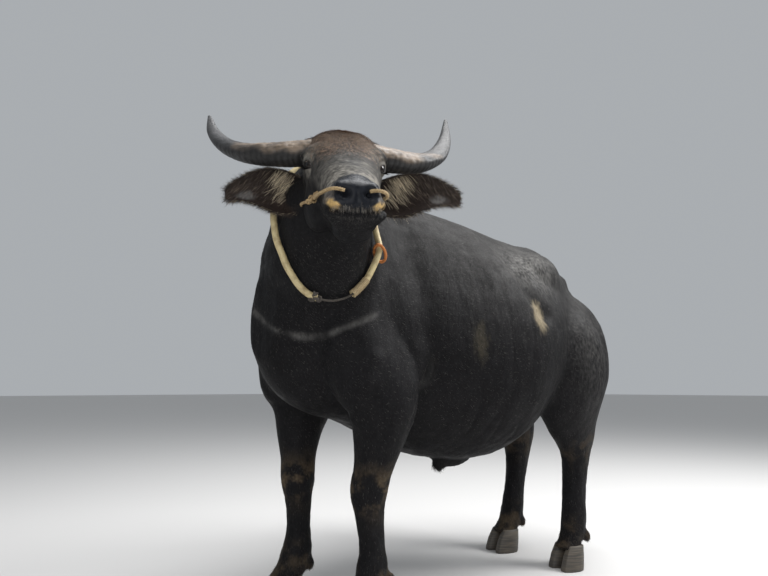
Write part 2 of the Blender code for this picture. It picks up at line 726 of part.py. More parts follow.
def ear_rows(side):
    """Points of the hollow face and of the back of an ear, row by row from its root."""
    root, tip = Vector(EAR_ROOT), Vector(EAR_TIPS[side < 0])
    across, front = Vector(EAR_ACROSS).normalized(), Vector(EAR_FRONT).normalized()
    profile = np.array(smooth_rows(EAR_PROFILE, 6)).T
    fronts, backs = [], []
    for i in range(EAR_ROWS + 1):
        t = i / EAR_ROWS
        middle = root.lerp(tip, t) + across * (0.014 * math.sin(math.pi * t)
                                               - 0.008 * math.sin(2 * math.pi * t))
        wide = EAR_WIDTH * float(np.interp(t, *profile))
        turn = math.radians(85 * (1 - t) ** 0.8 + 14)
        wide = max(wide, EAR_TIP_WIDTH)
        radius = wide / 2 / math.sin(min(turn, math.pi / 2))
        thick = EAR_THICK * (1 - 0.45 * t)
        front_row, back_row = [], []
        for k in range(EAR_COLUMNS + 1):
            v = turn * (2 * k / EAR_COLUMNS - 1)
            out = across * math.sin(v) - front * (math.cos(v) - math.cos(turn))
            spot = middle + out * radius
            lean = (across * math.sin(v) - front * math.cos(v)).normalized()
            edge = math.sqrt(max(0.0, 1 - (2 * k / EAR_COLUMNS - 1) ** 6))
            front_row.append(spot - lean * thick * 0.1)
            back_row.append(spot + lean * thick * max(edge, 0.35))
        fronts.append([head_point(side * p.x, p.y, p.z) for p in front_row])
        backs.append([head_point(side * p.x, p.y, p.z) for p in back_row])
    return fronts, backs


def ear(side):
    """The ear as a cupped leaf of even thickness, its hollow to the front."""
    fronts, backs = ear_rows(side)
    return strip_mesh("ear", [front + back[::-1] for front, back in zip(fronts, backs)])


def claw(x_middle, y_middle, inner, outer, back, toe, height):
    """One claw of a cloven hoof, flat below, straight on its inner side."""
    rings = []
    for share, grow, lean in CLAW_RISE:
        ring = []
        for k in range(CLAW_SIDES):
            angle = 2 * math.pi * k / CLAW_SIDES
            c, s = math.cos(angle), math.sin(angle)
            long = (toe if s < 0 else back) * grow
            x = (outer if c > 0 else inner) * (abs(c) ** 0.8) * math.copysign(1, c) * grow
            y = long * s * (1 - 0.18 * abs(c)) + lean
            ring.append((x_middle + x, y_middle + y, height * share))
        rings.append(ring)
    return rings


def hoofs(pair, side, foot_x, foot_y):
    """Both claws of one foot, with the cleft between them."""
    made = []
    for half, label in ((1, "outer"), (-1, "inner")):
        rings = claw(0, 0, CLAW_HALF - CLEFT / 2, CLAW_HALF, 0.046, 0.072, 0.092)
        turned = [[bent((foot_x + side * half * (x + CLAW_HALF), foot_y + y, z))
                   for x, y, z in ring] for ring in rings]
        thing = strip_mesh("claw", turned)
        made.append((f"hoof_{pair}_{'left' if side > 0 else 'right'}_{label}", thing))
    return made


def tube(name, route, radius, sides=8):
    """A round tube along a smooth route of points, with flat ends."""
    route = [Vector(p) for p in route]
    rings, up = [], Vector((0.3, 0.2, 1)).normalized()
    for i, centre in enumerate(route):
        along = (route[min(i + 1, len(route) - 1)] - route[max(i - 1, 0)]).normalized()
        up = (up - along * up.dot(along)).normalized()
        side = along.cross(up)
        rings.append([centre + (side * math.cos(2 * math.pi * k / sides)
                                + up * math.sin(2 * math.pi * k / sides)) * radius
                      for k in range(sides)])
    return strip_mesh(name, rings)


def surface_of(things):
    """A search tree over the skin of these pieces."""
    bm = bmesh.new()
    for thing in things:
        bm.from_mesh(thing.data)
    tree = BVHTree.FromBMesh(bm)
    bm.free()
    return tree


def cleared(route, skin, reaches, closed):
    """The route eased and kept off the skin by each point's reach."""
    for _ in range(6):
        last = len(route) - 1
        eased = [(route[k - 1] + route[k] * 2 + route[(k + 1) % len(route)]) / 4
                 if closed or 0 < k < last else route[k] for k in range(len(route))]
        route = []
        for point, reach in zip(eased, reaches):
            spot, normal = skin.find_nearest(point)[:2]
            short = reach - (point - spot).dot(normal)
            route.append(point + normal * short if short > 0 else point)
    return route


def collar_route(skin):
    """Points round the neck in the collar's own plane, lying just clear of the skin."""
    centre, drop = Vector(COLLAR_MIDDLE), (Vector(COLLAR_LOWEST) - Vector(COLLAR_MIDDLE))
    down = drop.normalized()
    side = Vector(COLLAR_SIDE)
    side = (side - down * side.dot(down)).normalized()
    reach = []
    for k in range(COLLAR_STEPS):
        angle = 2 * math.pi * k / COLLAR_STEPS
        ray = down * math.cos(angle) + side * math.sin(angle)
        hit = skin.ray_cast(centre, ray)[0]
        reach.append((hit - centre).length + COLLAR_RADIUS)
    lifts = [RING_LIFT * math.exp(-((k - RING_STEP) / RING_SPREAD) ** 2)
             for k in range(COLLAR_STEPS)]
    loop = [centre + (down * math.cos(2 * math.pi * k / COLLAR_STEPS)
                      + side * math.sin(2 * math.pi * k / COLLAR_STEPS)) * reach[k]
            for k in range(COLLAR_STEPS)]
    return cleared(loop, skin, [COLLAR_RADIUS + 0.003 + lift for lift in lifts], True)


def rope_route(skin, side):
    """The nose rope from the nostril over the cheek to behind the ear."""
    route = []
    for row in smooth_rows(NOSE_ROPE, 3):
        route.append(head_point(side * row[0], row[1], row[2]))
    return cleared(route, skin, [ROPE_RADIUS + 0.002] * len(route), False)


def lock(name, root, tip, out, wide, thick):
    """A flat tapered lock of hair from root to tip, bowed towards out."""
    root, tip, out = Vector(root), Vector(tip), Vector(out).normalized()
    along = (tip - root).normalized()
    side = along.cross(out).normalized()
    rings = []
    for i in range(LOCK_RINGS + 1):
        t = i / LOCK_RINGS
        centre = root.lerp(tip, t) + out * (tip - root).length * 0.16 * math.sin(math.pi * t)
        grow = 0.25 + 0.75 * math.sin(math.pi * min(t + 0.25, 1.0)) ** 0.7 if t < 1 else 0.08
        rings.append([centre + side * wide * grow, centre + out * thick * grow,
                      centre - side * wide * grow, centre - out * thick * grow])
    return strip_mesh(name, rings)


def united(body, pieces):
    """The pieces added to the body by one union, worked into its mesh."""
    group = bpy.data.collections.new("locks")
    for piece in pieces:
        group.objects.link(piece)
    add = body.modifiers.new("add", "BOOLEAN")
    add.operation, add.operand_type, add.solver = "UNION", "COLLECTION", "EXACT"
    add.collection = group
    applied(body)
    remove(*pieces)
    bpy.data.collections.remove(group)
    return keep_largest(body)


def switch_locks():
    """Locks of coarse hair standing off the tail's switch, their tips down."""
    made = []
    for k in range(LOCKS):
        turn = 2.4 * k
        share = k / (LOCKS - 1)
        z = SWITCH[0][1] - 0.02 - (SWITCH[0][1] - SWITCH[-1][1]) * 0.72 * share
        wide = 0.016 + 0.012 * math.sin(math.pi * min(share + 0.2, 1))
        out = Vector((math.cos(turn), math.sin(turn), 0.0))
        root = bent((TAIL_ASIDE, SWITCH[1][0], z)) + out * wide * 0.5
        tip = root + out * (0.010 + 0.014 * (1 - share)) - Vector((0, 0, 0.115 + 0.02 * (k % 3)))
        made.append(lock("lock", root, tip, out, 0.011, 0.005))
    return made


def ear_locks(side):
    """Long locks lying in the cup of the ear, from its base towards its rim."""
    made = []
    fronts, backs = ear_rows(side)
    front = ear_way(side, EAR_FRONT).normalized()
    for k in range(EAR_LOCKS):
        row, column = EAR_ROWS // 4 + k % 3, EAR_COLUMNS - 2 - k // 2
        base = fronts[row][column].lerp(backs[row][column], 0.5)
        end = fronts[row + 4][column - 3] + front * 0.010
        made.append(lock("lock", base, end, front, 0.006, 0.003))
    return made


def tail_pieces():
    """The hanging tail and its switch."""
    rows = [(bent((TAIL_ASIDE, y, z)), radius, radius) for y, z, radius in TAIL]
    bone = limb("tail", rows, 12, 3)
    rows = [(bent((TAIL_ASIDE, y, z)), radius, radius * 0.8) for y, z, radius in SWITCH]
    return bone, limb("tail_switch", rows, 12, 3)


def small_blob(at, size):
    """A coarse round lump of a knot."""
    bm = bmesh.new()
    bmesh.ops.create_icosphere(bm, subdivisions=2, radius=size)
    bmesh.ops.translate(bm, verts=bm.verts, vec=at)
    mesh = bpy.data.meshes.new("lump")
    bm.to_mesh(mesh)
    bm.free()
    return new_object("lump", mesh)


def knotted(cord, at, knots):
    """The cord with the lumps of a knot fused on at a place."""
    lumps = [small_blob(at + Vector(knot[:3]), knot[3]) for knot in knots]
    return united(cord, lumps)


def collar_ring(loop, skin):
    """A ring that hangs round the hose, leaning along it."""
    place = loop[RING_STEP]
    spot, normal = skin.find_nearest(place)[:2]
    out = (place - spot).normalized()
    along = (loop[RING_STEP + 1] - loop[RING_STEP - 1]).normalized()
    out = (out - along * out.dot(along)).normalized()
    across = along.cross(out)
    axis = (along + across * RING_LEAN).normalized()
    wide = axis.cross(out)
    route = []
    for k in range(24):
        angle = 2 * math.pi * k / 24
        route.append(place + out * (RING_DEPTH * math.cos(angle))
                     + wide * (RING_RADIUS * math.sin(angle) + RING_SHIFT))
    return closed_tube("collar_ring", route, RING_WIRE, axis)


def closed_tube(name, route, radius, axis, sides=7):
    """A round tube along a closed route that lies across an axis."""
    centre = sum(route, Vector()) / len(route)
    points, faces, count = [], [], len(route)
    for place in route:
        out = (place - centre).normalized()
        points += [place + (out * math.cos(2 * math.pi * k / sides)
                            + axis * math.sin(2 * math.pi * k / sides)) * radius
                   for k in range(sides)]
    for i in range(count):
        for k in range(sides):
            a, b = i * sides + k, i * sides + (k + 1) % sides
            c, d = (i + 1) % count * sides + k, (i + 1) % count * sides + (k + 1) % sides
            faces += [(a, b, d), (a, d, c)]
    mesh = mesh_from(name, points, faces)
    outward(mesh)
    return new_object(name, mesh)


def build_wear(skin, looks, blocks):
    """Collar with its tie and ring, and the nose rope."""
    loop = collar_route(skin)
    half, first = COLLAR_STEPS // 2, COLLAR_GAP
    left = tube("collar_left", loop[first:half + 1], COLLAR_RADIUS)
    right = tube("collar_right", loop[half + 1:COLLAR_STEPS - first + 1], COLLAR_RADIUS)
    route = [loop[first - k] for k in range(2 * first + 1)]
    route = [Vector(row) for row in smooth_rows(route, 3)]
    tie = tube("collar_tie", route[2:-2], CORD_RADIUS)
    tie = knotted(tie, route[-4], TIE_KNOTS)
    wide_hoses = [grown(hose, GAP * 1.3) for hose in (left, right)]
    clear_of(tie, *wide_hoses, *blocks)
    remove(*wide_hoses)
    finish(left, "collar_left", looks["hose"])
    finish(right, "collar_right", looks["hose"])
    finish(tie, "collar_tie", looks["cord"])
    finish(collar_ring(loop, skin), "collar_ring", looks["ring"])
    for side, label in ((1, "left"), (-1, "right")):
        route = rope_route(skin, side)
        rope = tube("rope", route, ROPE_RADIUS, 6)
        if side < 0:
            rope = knotted(rope, route[ROPE_KNOT_STEP], ROPE_KNOT)
        clear_of(rope, *blocks)
        finish(rope, f"nose_rope_{label}", looks["rope"])


def main():
    clear_scene()
    looks = {
        "hide": material("hide", (0.055, 0.052, 0.052), 0.55),
        "horn": material("horn", (0.18, 0.15, 0.12), 0.5),
        "eye": material("eye", (0.015, 0.012, 0.01), 0.08),
        "hoof": material("hoof", (0.05, 0.045, 0.04), 0.5),
        "hair": material("hair", (0.03, 0.026, 0.022), 0.7),
        "hose": material("hose", (0.62, 0.55, 0.38), 0.5),
        "rope": material("rope", (0.42, 0.28, 0.12), 0.85),
        "ring": material("ring", (0.50, 0.18, 0.04), 0.45),
        "cord": material("cord", (0.05, 0.045, 0.04), 0.8),
    }
    flesh = fused("flesh", flesh_masses(), BODY_VOXEL, 14)
    shape_body(flesh)
    shape_head(flesh)
    head = sliced(copied(flesh, "head"), HEAD_CUT, HEAD_CUT_NORMAL, GAP / 2)
    flesh = sliced(flesh, HEAD_CUT, [-part for part in HEAD_CUT_NORMAL], GAP / 2)
    thinned(head, HEAD_TRIANGLES)
    thinned(flesh, BODY_TRIANGLES)
    skin = surface_of([flesh, head])
    wide_head, wider = grown(head, GAP * 2.2), grown(flesh, GAP * 1.3)
    for side, label in ((1, "left"), (-1, "right")):
        crescent, leaf = horn(side), united(ear(side), ear_locks(side))
        clear_of(crescent, wide_head, wider)
        wide_horn = grown(crescent, GAP * 1.3)
        clear_of(leaf, wide_head, wider, wide_horn)
        remove(wide_horn)
        finish(crescent, f"horn_{label}", looks["horn"])
        finish(leaf, f"ear_{label}", looks["hide"])
        ball = thinned(blob("eye", eye_centre(side), [EYE_RADIUS] * 3), EYE_TRIANGLES)
        socket = grown(ball, GAP * 1.2)
        boolean(head, socket, "DIFFERENCE")
        remove(socket)
        finish(ball, f"eye_{label}", looks["eye"])
        for pair, rows, stagger in (("fore", FORELEG, FORE_STAGGER), ("hind", HINDLEG, HIND_STAGGER)):
            x, y = rows[-1][0] * side, rows[-1][1] + stagger * side
            for name, thing in hoofs(pair, side, x, y):
                boolean(thing, wider, "DIFFERENCE")
                finish(thing, name, looks["hoof"])
    tail, switch = tail_pieces()
    united(switch, switch_locks())
    boolean(tail, wider, "DIFFERENCE")
    tail_wide = grown(tail, GAP * 1.3)
    boolean(switch, tail_wide, "DIFFERENCE")
    remove(tail_wide)
    finish(tail, "tail", looks["hide"])
    finish(switch, "tail_switch", looks["hair"])
    build_wear(skin, looks, (wide_head, wider))
    remove(wider, wide_head)
    finish(head, "head", looks["hide"])
    finish(parted(flesh, plane_box(NECK_CUT, NECK_CUT_NORMAL), "neck"), "neck", looks["hide"])
    for side, label in ((1, "left"), (-1, "right")):
        for pair, outline in (("foreleg", FORE_CUT), ("hindleg", HIND_CUT)):
            block = leg_block(outline, LEG_CUT_INNER, 0.7, LEG_CUT_RISE, side)
            finish(parted(flesh, block, pair), f"{pair}_{label}", looks["hide"])
    finish(flesh, "torso", looks["hide"])
    for thing in bpy.context.scene.objects:
        thing.data.transform(Matrix.Translation(-FLOOR_CENTRE))


main()
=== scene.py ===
"""Water buffalo bull in full detail over its CAD frame: skin, coat, horns, hooves and collar."""
import contextlib
import functools
import json
import math

import bmesh
import bpy
import numpy as np
from mathutils import Matrix, Vector, kdtree, noise
from mathutils.bvhtree import BVHTree

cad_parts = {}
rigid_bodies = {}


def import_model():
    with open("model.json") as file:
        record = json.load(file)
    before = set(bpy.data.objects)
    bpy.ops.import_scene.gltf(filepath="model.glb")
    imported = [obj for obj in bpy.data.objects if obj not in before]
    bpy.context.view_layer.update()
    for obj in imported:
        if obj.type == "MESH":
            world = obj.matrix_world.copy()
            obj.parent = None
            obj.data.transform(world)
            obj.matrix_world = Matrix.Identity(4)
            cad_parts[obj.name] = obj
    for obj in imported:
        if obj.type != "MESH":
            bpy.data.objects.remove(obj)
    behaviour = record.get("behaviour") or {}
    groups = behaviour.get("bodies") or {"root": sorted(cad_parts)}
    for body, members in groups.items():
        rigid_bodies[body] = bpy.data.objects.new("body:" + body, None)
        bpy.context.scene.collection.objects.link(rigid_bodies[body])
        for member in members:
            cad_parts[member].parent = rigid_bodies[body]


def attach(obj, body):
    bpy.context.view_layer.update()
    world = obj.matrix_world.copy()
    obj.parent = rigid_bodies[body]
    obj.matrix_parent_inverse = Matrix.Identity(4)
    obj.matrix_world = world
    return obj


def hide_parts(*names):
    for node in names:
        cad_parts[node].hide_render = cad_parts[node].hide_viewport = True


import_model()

# The withers, and where the spine starts to bend and how sharply, with the fore feet at y = 0
WITHERS, BEND_FROM, BEND_RADIUS = 1.45, 0.10, 4.0

# How far the left foot of each pair stands behind the middle of the pair
FORE_STAGGER, HIND_STAGGER = 0.05, 0.03

FLOOR_CENTRE = Vector((0.18323, 0.41239, 0.0))

# Carriage of the head: the poll, and how the face axis is turned and dipped
POLL = Vector((0.376, -0.261, 1.411))
HEAD_YAW = math.radians(58.3)
HEAD_DIP = math.radians(27.4)

# Eyes: place on the head, radius, height and length of the opening, lids, and its shift forward
EYE_AT, EYE_RADIUS = (0.085, 0.156, -0.052), 0.0215
EYE_OPEN, EYE_WIDE, LID_THICK, EYE_SHIFT = 0.42, 0.80, 0.0035, 0.07

# Torso stations: y, top, bottom, half width, height of the widest, top and bottom squareness
TORSO = (
    (-0.290, 1.08, 0.80, 0.092, 0.93, 2.0, 2.0),
    (-0.220, 1.23, 0.70, 0.168, 0.95, 2.0, 2.0),
    (-0.110, 1.36, 0.63, 0.232, 0.96, 1.9, 2.1),
    (0.020, 1.430, 0.60, 0.268, 0.95, 1.7, 2.2),
    (0.160, WITHERS, 0.545, 0.310, 0.93, 1.65, 2.2),
    (0.320, 1.430, 0.475, 0.365, 0.88, 1.8, 2.1),
    (0.500, 1.400, 0.440, 0.415, 0.86, 1.95, 2.1),
    (0.680, 1.368, 0.450, 0.420, 0.86, 2.0, 2.1),
    (0.850, 1.350, 0.530, 0.370, 0.91, 2.0, 2.0),
    (1.000, 1.350, 0.650, 0.288, 0.97, 1.82, 2.0),
    (1.130, 1.250, 0.760, 0.215, 1.00, 1.7, 2.0),
    (1.220, 1.162, 0.830, 0.165, 1.01, 1.7, 2.0),
    (1.280, 1.090, 0.910, 0.105, 1.01, 2.0, 2.0),
)

# Leg stations: x, y, z, half width, half depth, for the left leg of each pair
FOOT_FROM = 0.9
FORELEG = (
    (0.150, 0.060, 1.24, 0.050, 0.100),
    (0.172, 0.015, 1.08, 0.080, 0.140),
    (0.180, -0.018, 0.92, 0.094, 0.160),
    (0.202, -0.010, 0.78, 0.104, 0.168),
    (0.214, 0.022, 0.67, 0.104, 0.126),
    (0.206, 0.012, 0.57, 0.084, 0.090),
    (0.183, 0.000, 0.47, 0.062, 0.064),
    (0.164, -0.008, 0.395, 0.057, 0.064),
    (0.158, -0.004, 0.325, 0.045, 0.050),
    (0.156, 0.004, 0.230, 0.040, 0.044),
    (0.155, 0.002, 0.155, 0.051, 0.054),
    (0.155, -0.022, 0.098, 0.048, 0.048),
    (0.155, -0.040, 0.060, 0.060, 0.060),
)
HINDLEG = (
    (0.130, 1.000, 1.19, 0.085, 0.130),
    (0.158, 0.995, 1.08, 0.097, 0.160),
    (0.200, 1.036, 0.94, 0.133, 0.220),
    (0.216, 1.042, 0.81, 0.133, 0.228),
    (0.208, 1.045, 0.69, 0.114, 0.206),
    (0.190, 1.066, 0.59, 0.086, 0.160),
    (0.174, 1.086, 0.505, 0.066, 0.116),
    (0.165, 1.086, 0.42, 0.051, 0.073),
    (0.162, 1.066, 0.29, 0.045, 0.053),
    (0.162, 1.048, 0.165, 0.050, 0.053),
    (0.162, 1.020, 0.100, 0.046, 0.046),
    (0.162, 1.000, 0.060, 0.057, 0.058),
)

LEGS = (("fore", FORELEG, FORE_STAGGER), ("hind", HINDLEG, HIND_STAGGER))

# Neck stations: centre, half width, half height, from the chest to the throat
NECK = (
    ((0.000, 0.080, 1.10), 0.225, 0.290),
    ((0.020, -0.060, 1.12), 0.235, 0.285),
    ((0.100, -0.140, 1.17), 0.185, 0.250),
    ((0.180, -0.185, 1.225), 0.158, 0.208),
    ((0.250, -0.215, 1.27), 0.140, 0.168),
    ((0.325, -0.230, 1.30), 0.110, 0.125),
)

# Head stations in its own axes: distance from the poll,
# top, bottom, half width, depth of the widest, top and bottom squareness
HEAD = (
    (-0.065, -0.045, -0.170, 0.070, -0.10, 2.0, 2.0),
    (-0.030, 0.025, -0.205, 0.099, -0.09, 2.6, 2.0),
    (0.030, 0.038, -0.235, 0.111, -0.085, 2.7, 1.8),
    (0.100, 0.031, -0.248, 0.110, -0.075, 2.5, 1.6),
    (0.170, 0.012, -0.240, 0.100, -0.070, 2.4, 1.5),
    (0.250, -0.014, -0.212, 0.084, -0.080, 2.3, 1.6),
    (0.330, -0.028, -0.182, 0.073, -0.090, 2.2, 1.8),
    (0.400, -0.036, -0.168, 0.068, -0.106, 2.0, 2.0),
    (0.455, -0.041, -0.162, 0.067, -0.112, 1.75, 2.2),
    (0.490, -0.052, -0.156, 0.065, -0.113, 1.75, 2.1),
    (0.508, -0.073, -0.138, 0.044, -0.108, 1.85, 2.0),
)

# Horn stations on the head, for the left horn: place, half width across, half depth.
# The left tip turns up further, and the right horn reaches a little further out.
HORN_LIFT, HORN_LONGER = (0.045, 0.0), (-0.024, 0.016)
HORN = (
    ((0.070, 0.020, -0.026), 0.054, 0.042),
    ((0.130, 0.012, -0.034), 0.052, 0.040),
    ((0.200, -0.010, -0.042), 0.047, 0.036),
    ((0.265, -0.050, -0.045), 0.041, 0.031),
    ((0.325, -0.112, -0.034), 0.032, 0.025),
    ((0.370, -0.190, -0.002), 0.020, 0.016),
    ((0.394, -0.275, 0.045), 0.005, 0.004),
)

# Ears: root and tips on the head, the ways across and out of the hollow, widths and fineness
EAR_ROOT = (0.080, 0.045, -0.140)
EAR_TIPS = ((0.388, -0.050, -0.148), (0.338, -0.060, -0.172))
EAR_ACROSS, EAR_FRONT = (0.05, -0.25, 1.0), (0.25, 1.0, 0.10)
EAR_WIDTH, EAR_TIP_WIDTH, EAR_THICK = 0.122, 0.014, 0.008
EAR_ROWS, EAR_COLUMNS = 44, 24
EAR_PROFILE = ((0.0, 0.50), (0.12, 0.74), (0.30, 1.0), (0.48, 0.97), (0.64, 0.77), (0.80, 0.55),
               (0.92, 0.42), (0.98, 0.27), (1.0, 0.13))

# Forms of the left side of the head, the chin and the sheath: place and half sizes
HEAD_FORMS = (
    ("orbit", (0.088, 0.135, -0.035), (0.030, 0.045, 0.035)),
    ("cheek", (0.065, 0.13, -0.16), (0.042, 0.10, 0.075)),
    ("nostril", (0.029, 0.470, -0.070), (0.023, 0.030, 0.023)),
    ("brow", (0.074, 0.128, -0.014), (0.032, 0.036, 0.022)),
    ("boss", (0.085, 0.005, -0.028), (0.045, 0.050, 0.040)),
)
CHIN = ((0, 0.44, -0.165), (0.048, 0.045, 0.030))
SHEATH = (("sheath", (0, 0.57, 0.455), (0.040, 0.11, 0.050)),
          ("sheath_tip", (0, 0.50, 0.425), (0.026, 0.035, 0.030)))

# Dewclaws behind each fetlock, the hip bones and the pin bones: place and half sizes
DEWCLAW, DEWCLAW_SIZE = (0.027, 0.088, 0.118), (0.017, 0.017, 0.026)
HIP, HIP_SIZE = (0.240, 0.815, 1.155), (0.100, 0.160, 0.108)
PIN, PIN_SIZE = (0.105, 1.220, 1.020), (0.060, 0.065, 0.080)

# Places of the skin that are smoothed after it is fused: centre, reach and rounds
SMOOTHED = (((0.285, 0.950, 1.140), 0.17, 60), ((-0.285, 0.950, 1.140), 0.17, 60),
            ((-HIP[0], HIP[1] - 0.01, HIP[2]), 0.15, 45))

# Folds, hollows and ridges of the hide for the left side: sides, places along the line,
# reach across it and how far it stands out
RELIEF = (
    ((1,), ((-0.068, -0.300, 0.962), (0.060, -0.262, 0.898), (0.196, -0.208, 0.867),
            (0.301, -0.037, 0.948)), 0.012, -0.005),
    ((1, -1), ((0.220, 0.560, 1.320), (0.289, 0.583, 1.241), (0.330, 0.605, 1.190),
               (0.390, 0.635, 1.062), (0.400, 0.700, 0.980)), 0.040, -0.016),
    ((1, -1), ((0.180, 0.145, 1.290), (0.258, 0.133, 1.147), (0.300, 0.150, 1.005),
               (0.310, 0.165, 0.871), (0.294, 0.175, 0.790)), 0.050, -0.014),
    ((1, -1), ((0.300, 0.190, 0.800), (0.290, 0.168, 0.735), (0.283, 0.110, 0.680),
               (0.277, 0.075, 0.615)), 0.012, -0.011),
    ((1, -1), ((0.285, 0.135, 0.830), (0.290, 0.110, 0.750), (0.287, 0.062, 0.690),
               (0.275, 0.030, 0.630)), 0.035, 0.012),
    ((1, -1), ((0.285, -0.060, 0.800), (0.274, -0.085, 0.745), (0.249, -0.088, 0.694),
               (0.205, -0.066, 0.630)), 0.030, 0.014),
    ((1, -1), ((0.210, -0.170, 0.760), (0.190, -0.160, 0.700), (0.150, -0.120, 0.640)),
     0.032, -0.012),
    ((1, -1), ((0.150, 0.020, 1.300), (0.225, -0.015, 1.150), (0.265, -0.050, 1.000),
               (0.280, -0.080, 0.880)), 0.050, 0.010),
    ((1, -1), ((0.385, 0.830, 0.640), (0.355, 0.760, 0.560), (0.290, 0.660, 0.520)),
     0.030, 0.012),
    ((1, -1), ((0.300, 1.130, 1.000), (0.300, 1.160, 0.880), (0.270, 1.160, 0.740)),
     0.045, -0.012),
)

# Tail stations: y, z, radius; it hangs a little to the right. Top and bottom of its switch: y, z
TAIL_ASIDE = -0.025
TAIL = ((1.22, 1.13, 0.034), (1.300, 1.110, 0.032), (1.335, 1.03, 0.027), (1.340, 0.90, 0.021),
        (1.330, 0.76, 0.016), (1.320, 0.66, 0.013))
SWITCH = ((1.320, 0.69), (1.310, 0.36))

NOSTRIL_AT = (0.0285, 0.500, -0.071)
MOUTH_HEIGHT, MOUTH_CORNER = -0.108, 0.385

# Claws: rise as a share of the height, growth and lean back of each outline
CLAW_RISE = ((0.0, 1.0, 0.0), (0.12, 1.02, 0.001), (0.55, 0.93, 0.010), (1.0, 0.72, 0.022))
CLAW_HALF, CLEFT, CLAW_SIDES = 0.032, 0.006, 10
CLAW_BACK, CLAW_TOE, CLAW_HEIGHT = 0.046, 0.072, 0.092

# Collar round the neck and rope through the nose
COLLAR_RADIUS, COLLAR_STEPS = 0.0105, 96
COLLAR_MIDDLE, COLLAR_LOWEST = (0.215, -0.185, 1.20), (0.245, -0.18, 0.965)
COLLAR_SIDE = (0.32, 0.93, 0.0)
COLLAR_GAP = 4
RING_STEP, RING_LIFT, RING_SPREAD = 18, 0.0125, 4.4
RING_RADIUS, RING_DEPTH, RING_WIRE = 0.033, 0.0185, 0.0055
RING_SHIFT, RING_LEAN = 0.012, 0.6
CORD_RADIUS = 0.0045
TIE_KNOTS = ((0.0, 0.0, 0.0, 0.014), (0.006, -0.010, 0.008, 0.010), (-0.008, -0.014, -0.006, 0.009))
ROPE_RADIUS = 0.004
ROPE_KNOT_STEP = 15
ROPE_KNOT = ((0.0, 0.0, 0.0, 0.011), (0.008, 0.003, 0.008, 0.010), (0.003, -0.010, -0.009, 0.010))
NOSE_ROPE = ((0.028, 0.497, -0.067), (0.045, 0.508, -0.061), (0.064, 0.488, -0.069),
             (0.076, 0.440, -0.085), (0.080, 0.360, -0.100), (0.083, 0.280, -0.120),
             (0.094, 0.200, -0.142), (0.107, 0.110, -0.166))

NOSE_AXIS = Vector((math.cos(HEAD_DIP) * math.sin(HEAD_YAW),
                    -math.cos(HEAD_DIP) * math.cos(HEAD_YAW), -math.sin(HEAD_DIP)))
BROW_AXIS = Vector((math.sin(HEAD_DIP) * math.sin(HEAD_YAW),
                    -math.sin(HEAD_DIP) * math.cos(HEAD_YAW), math.cos(HEAD_DIP)))
LEFT_AXIS = Vector((math.cos(HEAD_YAW), math.sin(HEAD_YAW), 0.0))

# Fineness of the skin, of the face and of the pieces on it
SKIN_VOXEL, SKIN_ROUNDS, FACE_EDGE = 0.006, 26, 0.0017 * 1.5
FINE_HORN_SIDES, SWITCH_HAIRS, RIM_HAIRS, COAT_PATCH = 48, 4200, 700, 0.003

# Step along the ropes, their turns a metre, their gap to the skin, and the wrap of the hose
ROPE_STEP, TIE_TWIST, ROPE_TWIST = 0.0016, 90, 55
COLLAR_CLEAR, ROPE_CLEAR = 0.003, 0.002
WRAP_STEPS, WRAP_LIFT, WRAP_WIRE = 5, 0.0012, 0.0016

# Colours of hide, horn, hair and mud
# HIDE_DUST_AND_TOPLIGHT is dust together with painted top light, laid most where the hide faces up
HIDE_DARK, HIDE_DUST_AND_TOPLIGHT, HIDE_RUBBED = (0.0075, 0.0073, 0.0080), (0.040, 0.0385, 0.0375), (0.23, 0.19, 0.125)
HIDE_BROWN, HIDE_PALE, MUD = (0.050, 0.043, 0.030), (0.125, 0.121, 0.115), (0.085, 0.062, 0.038)
# FACE_GREY_SUNLIT is the face's own mottled grey together with painted sunlight and painted highlights
POLL_BROWN, FACE_GREY_SUNLIT, MUZZLE = (0.052, 0.037, 0.028), (0.205, 0.190, 0.165), (0.014, 0.0155, 0.0195)
LIP_GOLD, LIP_GREY, EAR_SKIN = (0.50, 0.34, 0.14), (0.11, 0.10, 0.095), (0.030, 0.021, 0.017)
EAR_PALE, EAR_WISP, EAR_CREAM = (0.14, 0.135, 0.13), (0.15, 0.115, 0.085), (0.58, 0.49, 0.35)
HAIR_DARK, HAIR_GREY, HAIR_BROWN = (0.008, 0.007, 0.0065), (0.058, 0.054, 0.048), (0.026, 0.019, 0.015)
POLL_HAIR, BRISTLE = (0.190, 0.122, 0.078), (0.17, 0.155, 0.135)
HORN_DARK, HORN_TAN, HORN_GREY = (0.015, 0.0145, 0.0145), (0.170, 0.128, 0.092), (0.042, 0.042, 0.044)
EYE_WHITE, EYE_IRIS, EYE_PUPIL = (0.024, 0.019, 0.017), (0.013, 0.009, 0.007), (0.002, 0.002, 0.002)
HOOF_DARK, HOOF_PALE = (0.030, 0.027, 0.024), (0.085, 0.070, 0.052)
HOSE_CREAM, HOSE_STAIN, HOSE_SPECK = (0.50, 0.41, 0.22), (0.27, 0.20, 0.10), (0.16, 0.12, 0.07)
ROPE_TONES = (("rope", (0.46, 0.34, 0.18), (0.17, 0.11, 0.05)),
              ("cord", (0.10, 0.085, 0.07), (0.03, 0.026, 0.022)),
              ("tape", (0.50, 0.40, 0.24), (0.30, 0.22, 0.12)),
              ("ring", (0.55, 0.20, 0.05), (0.34, 0.11, 0.03)))

# Worn patches of the hide: place and sizes, and the heights of the muddy knees and hocks
RUMP_DUST = ((0.40, 0.98, 0.88), (0.20, 0.13, 0.19))
HIP_DUST = ((0.33, 0.66, 1.17), (0.16, 0.14, 0.09))
FLANK_RUBBED = ((0.447, 0.605, 0.972), (0.20, 0.042, 0.070))
FLANK_BROWN = ((0.385, 0.335, 0.870), (0.20, 0.028, 0.080))
KNEE_HEIGHT, HOCK_HEIGHT = 0.40, 0.47

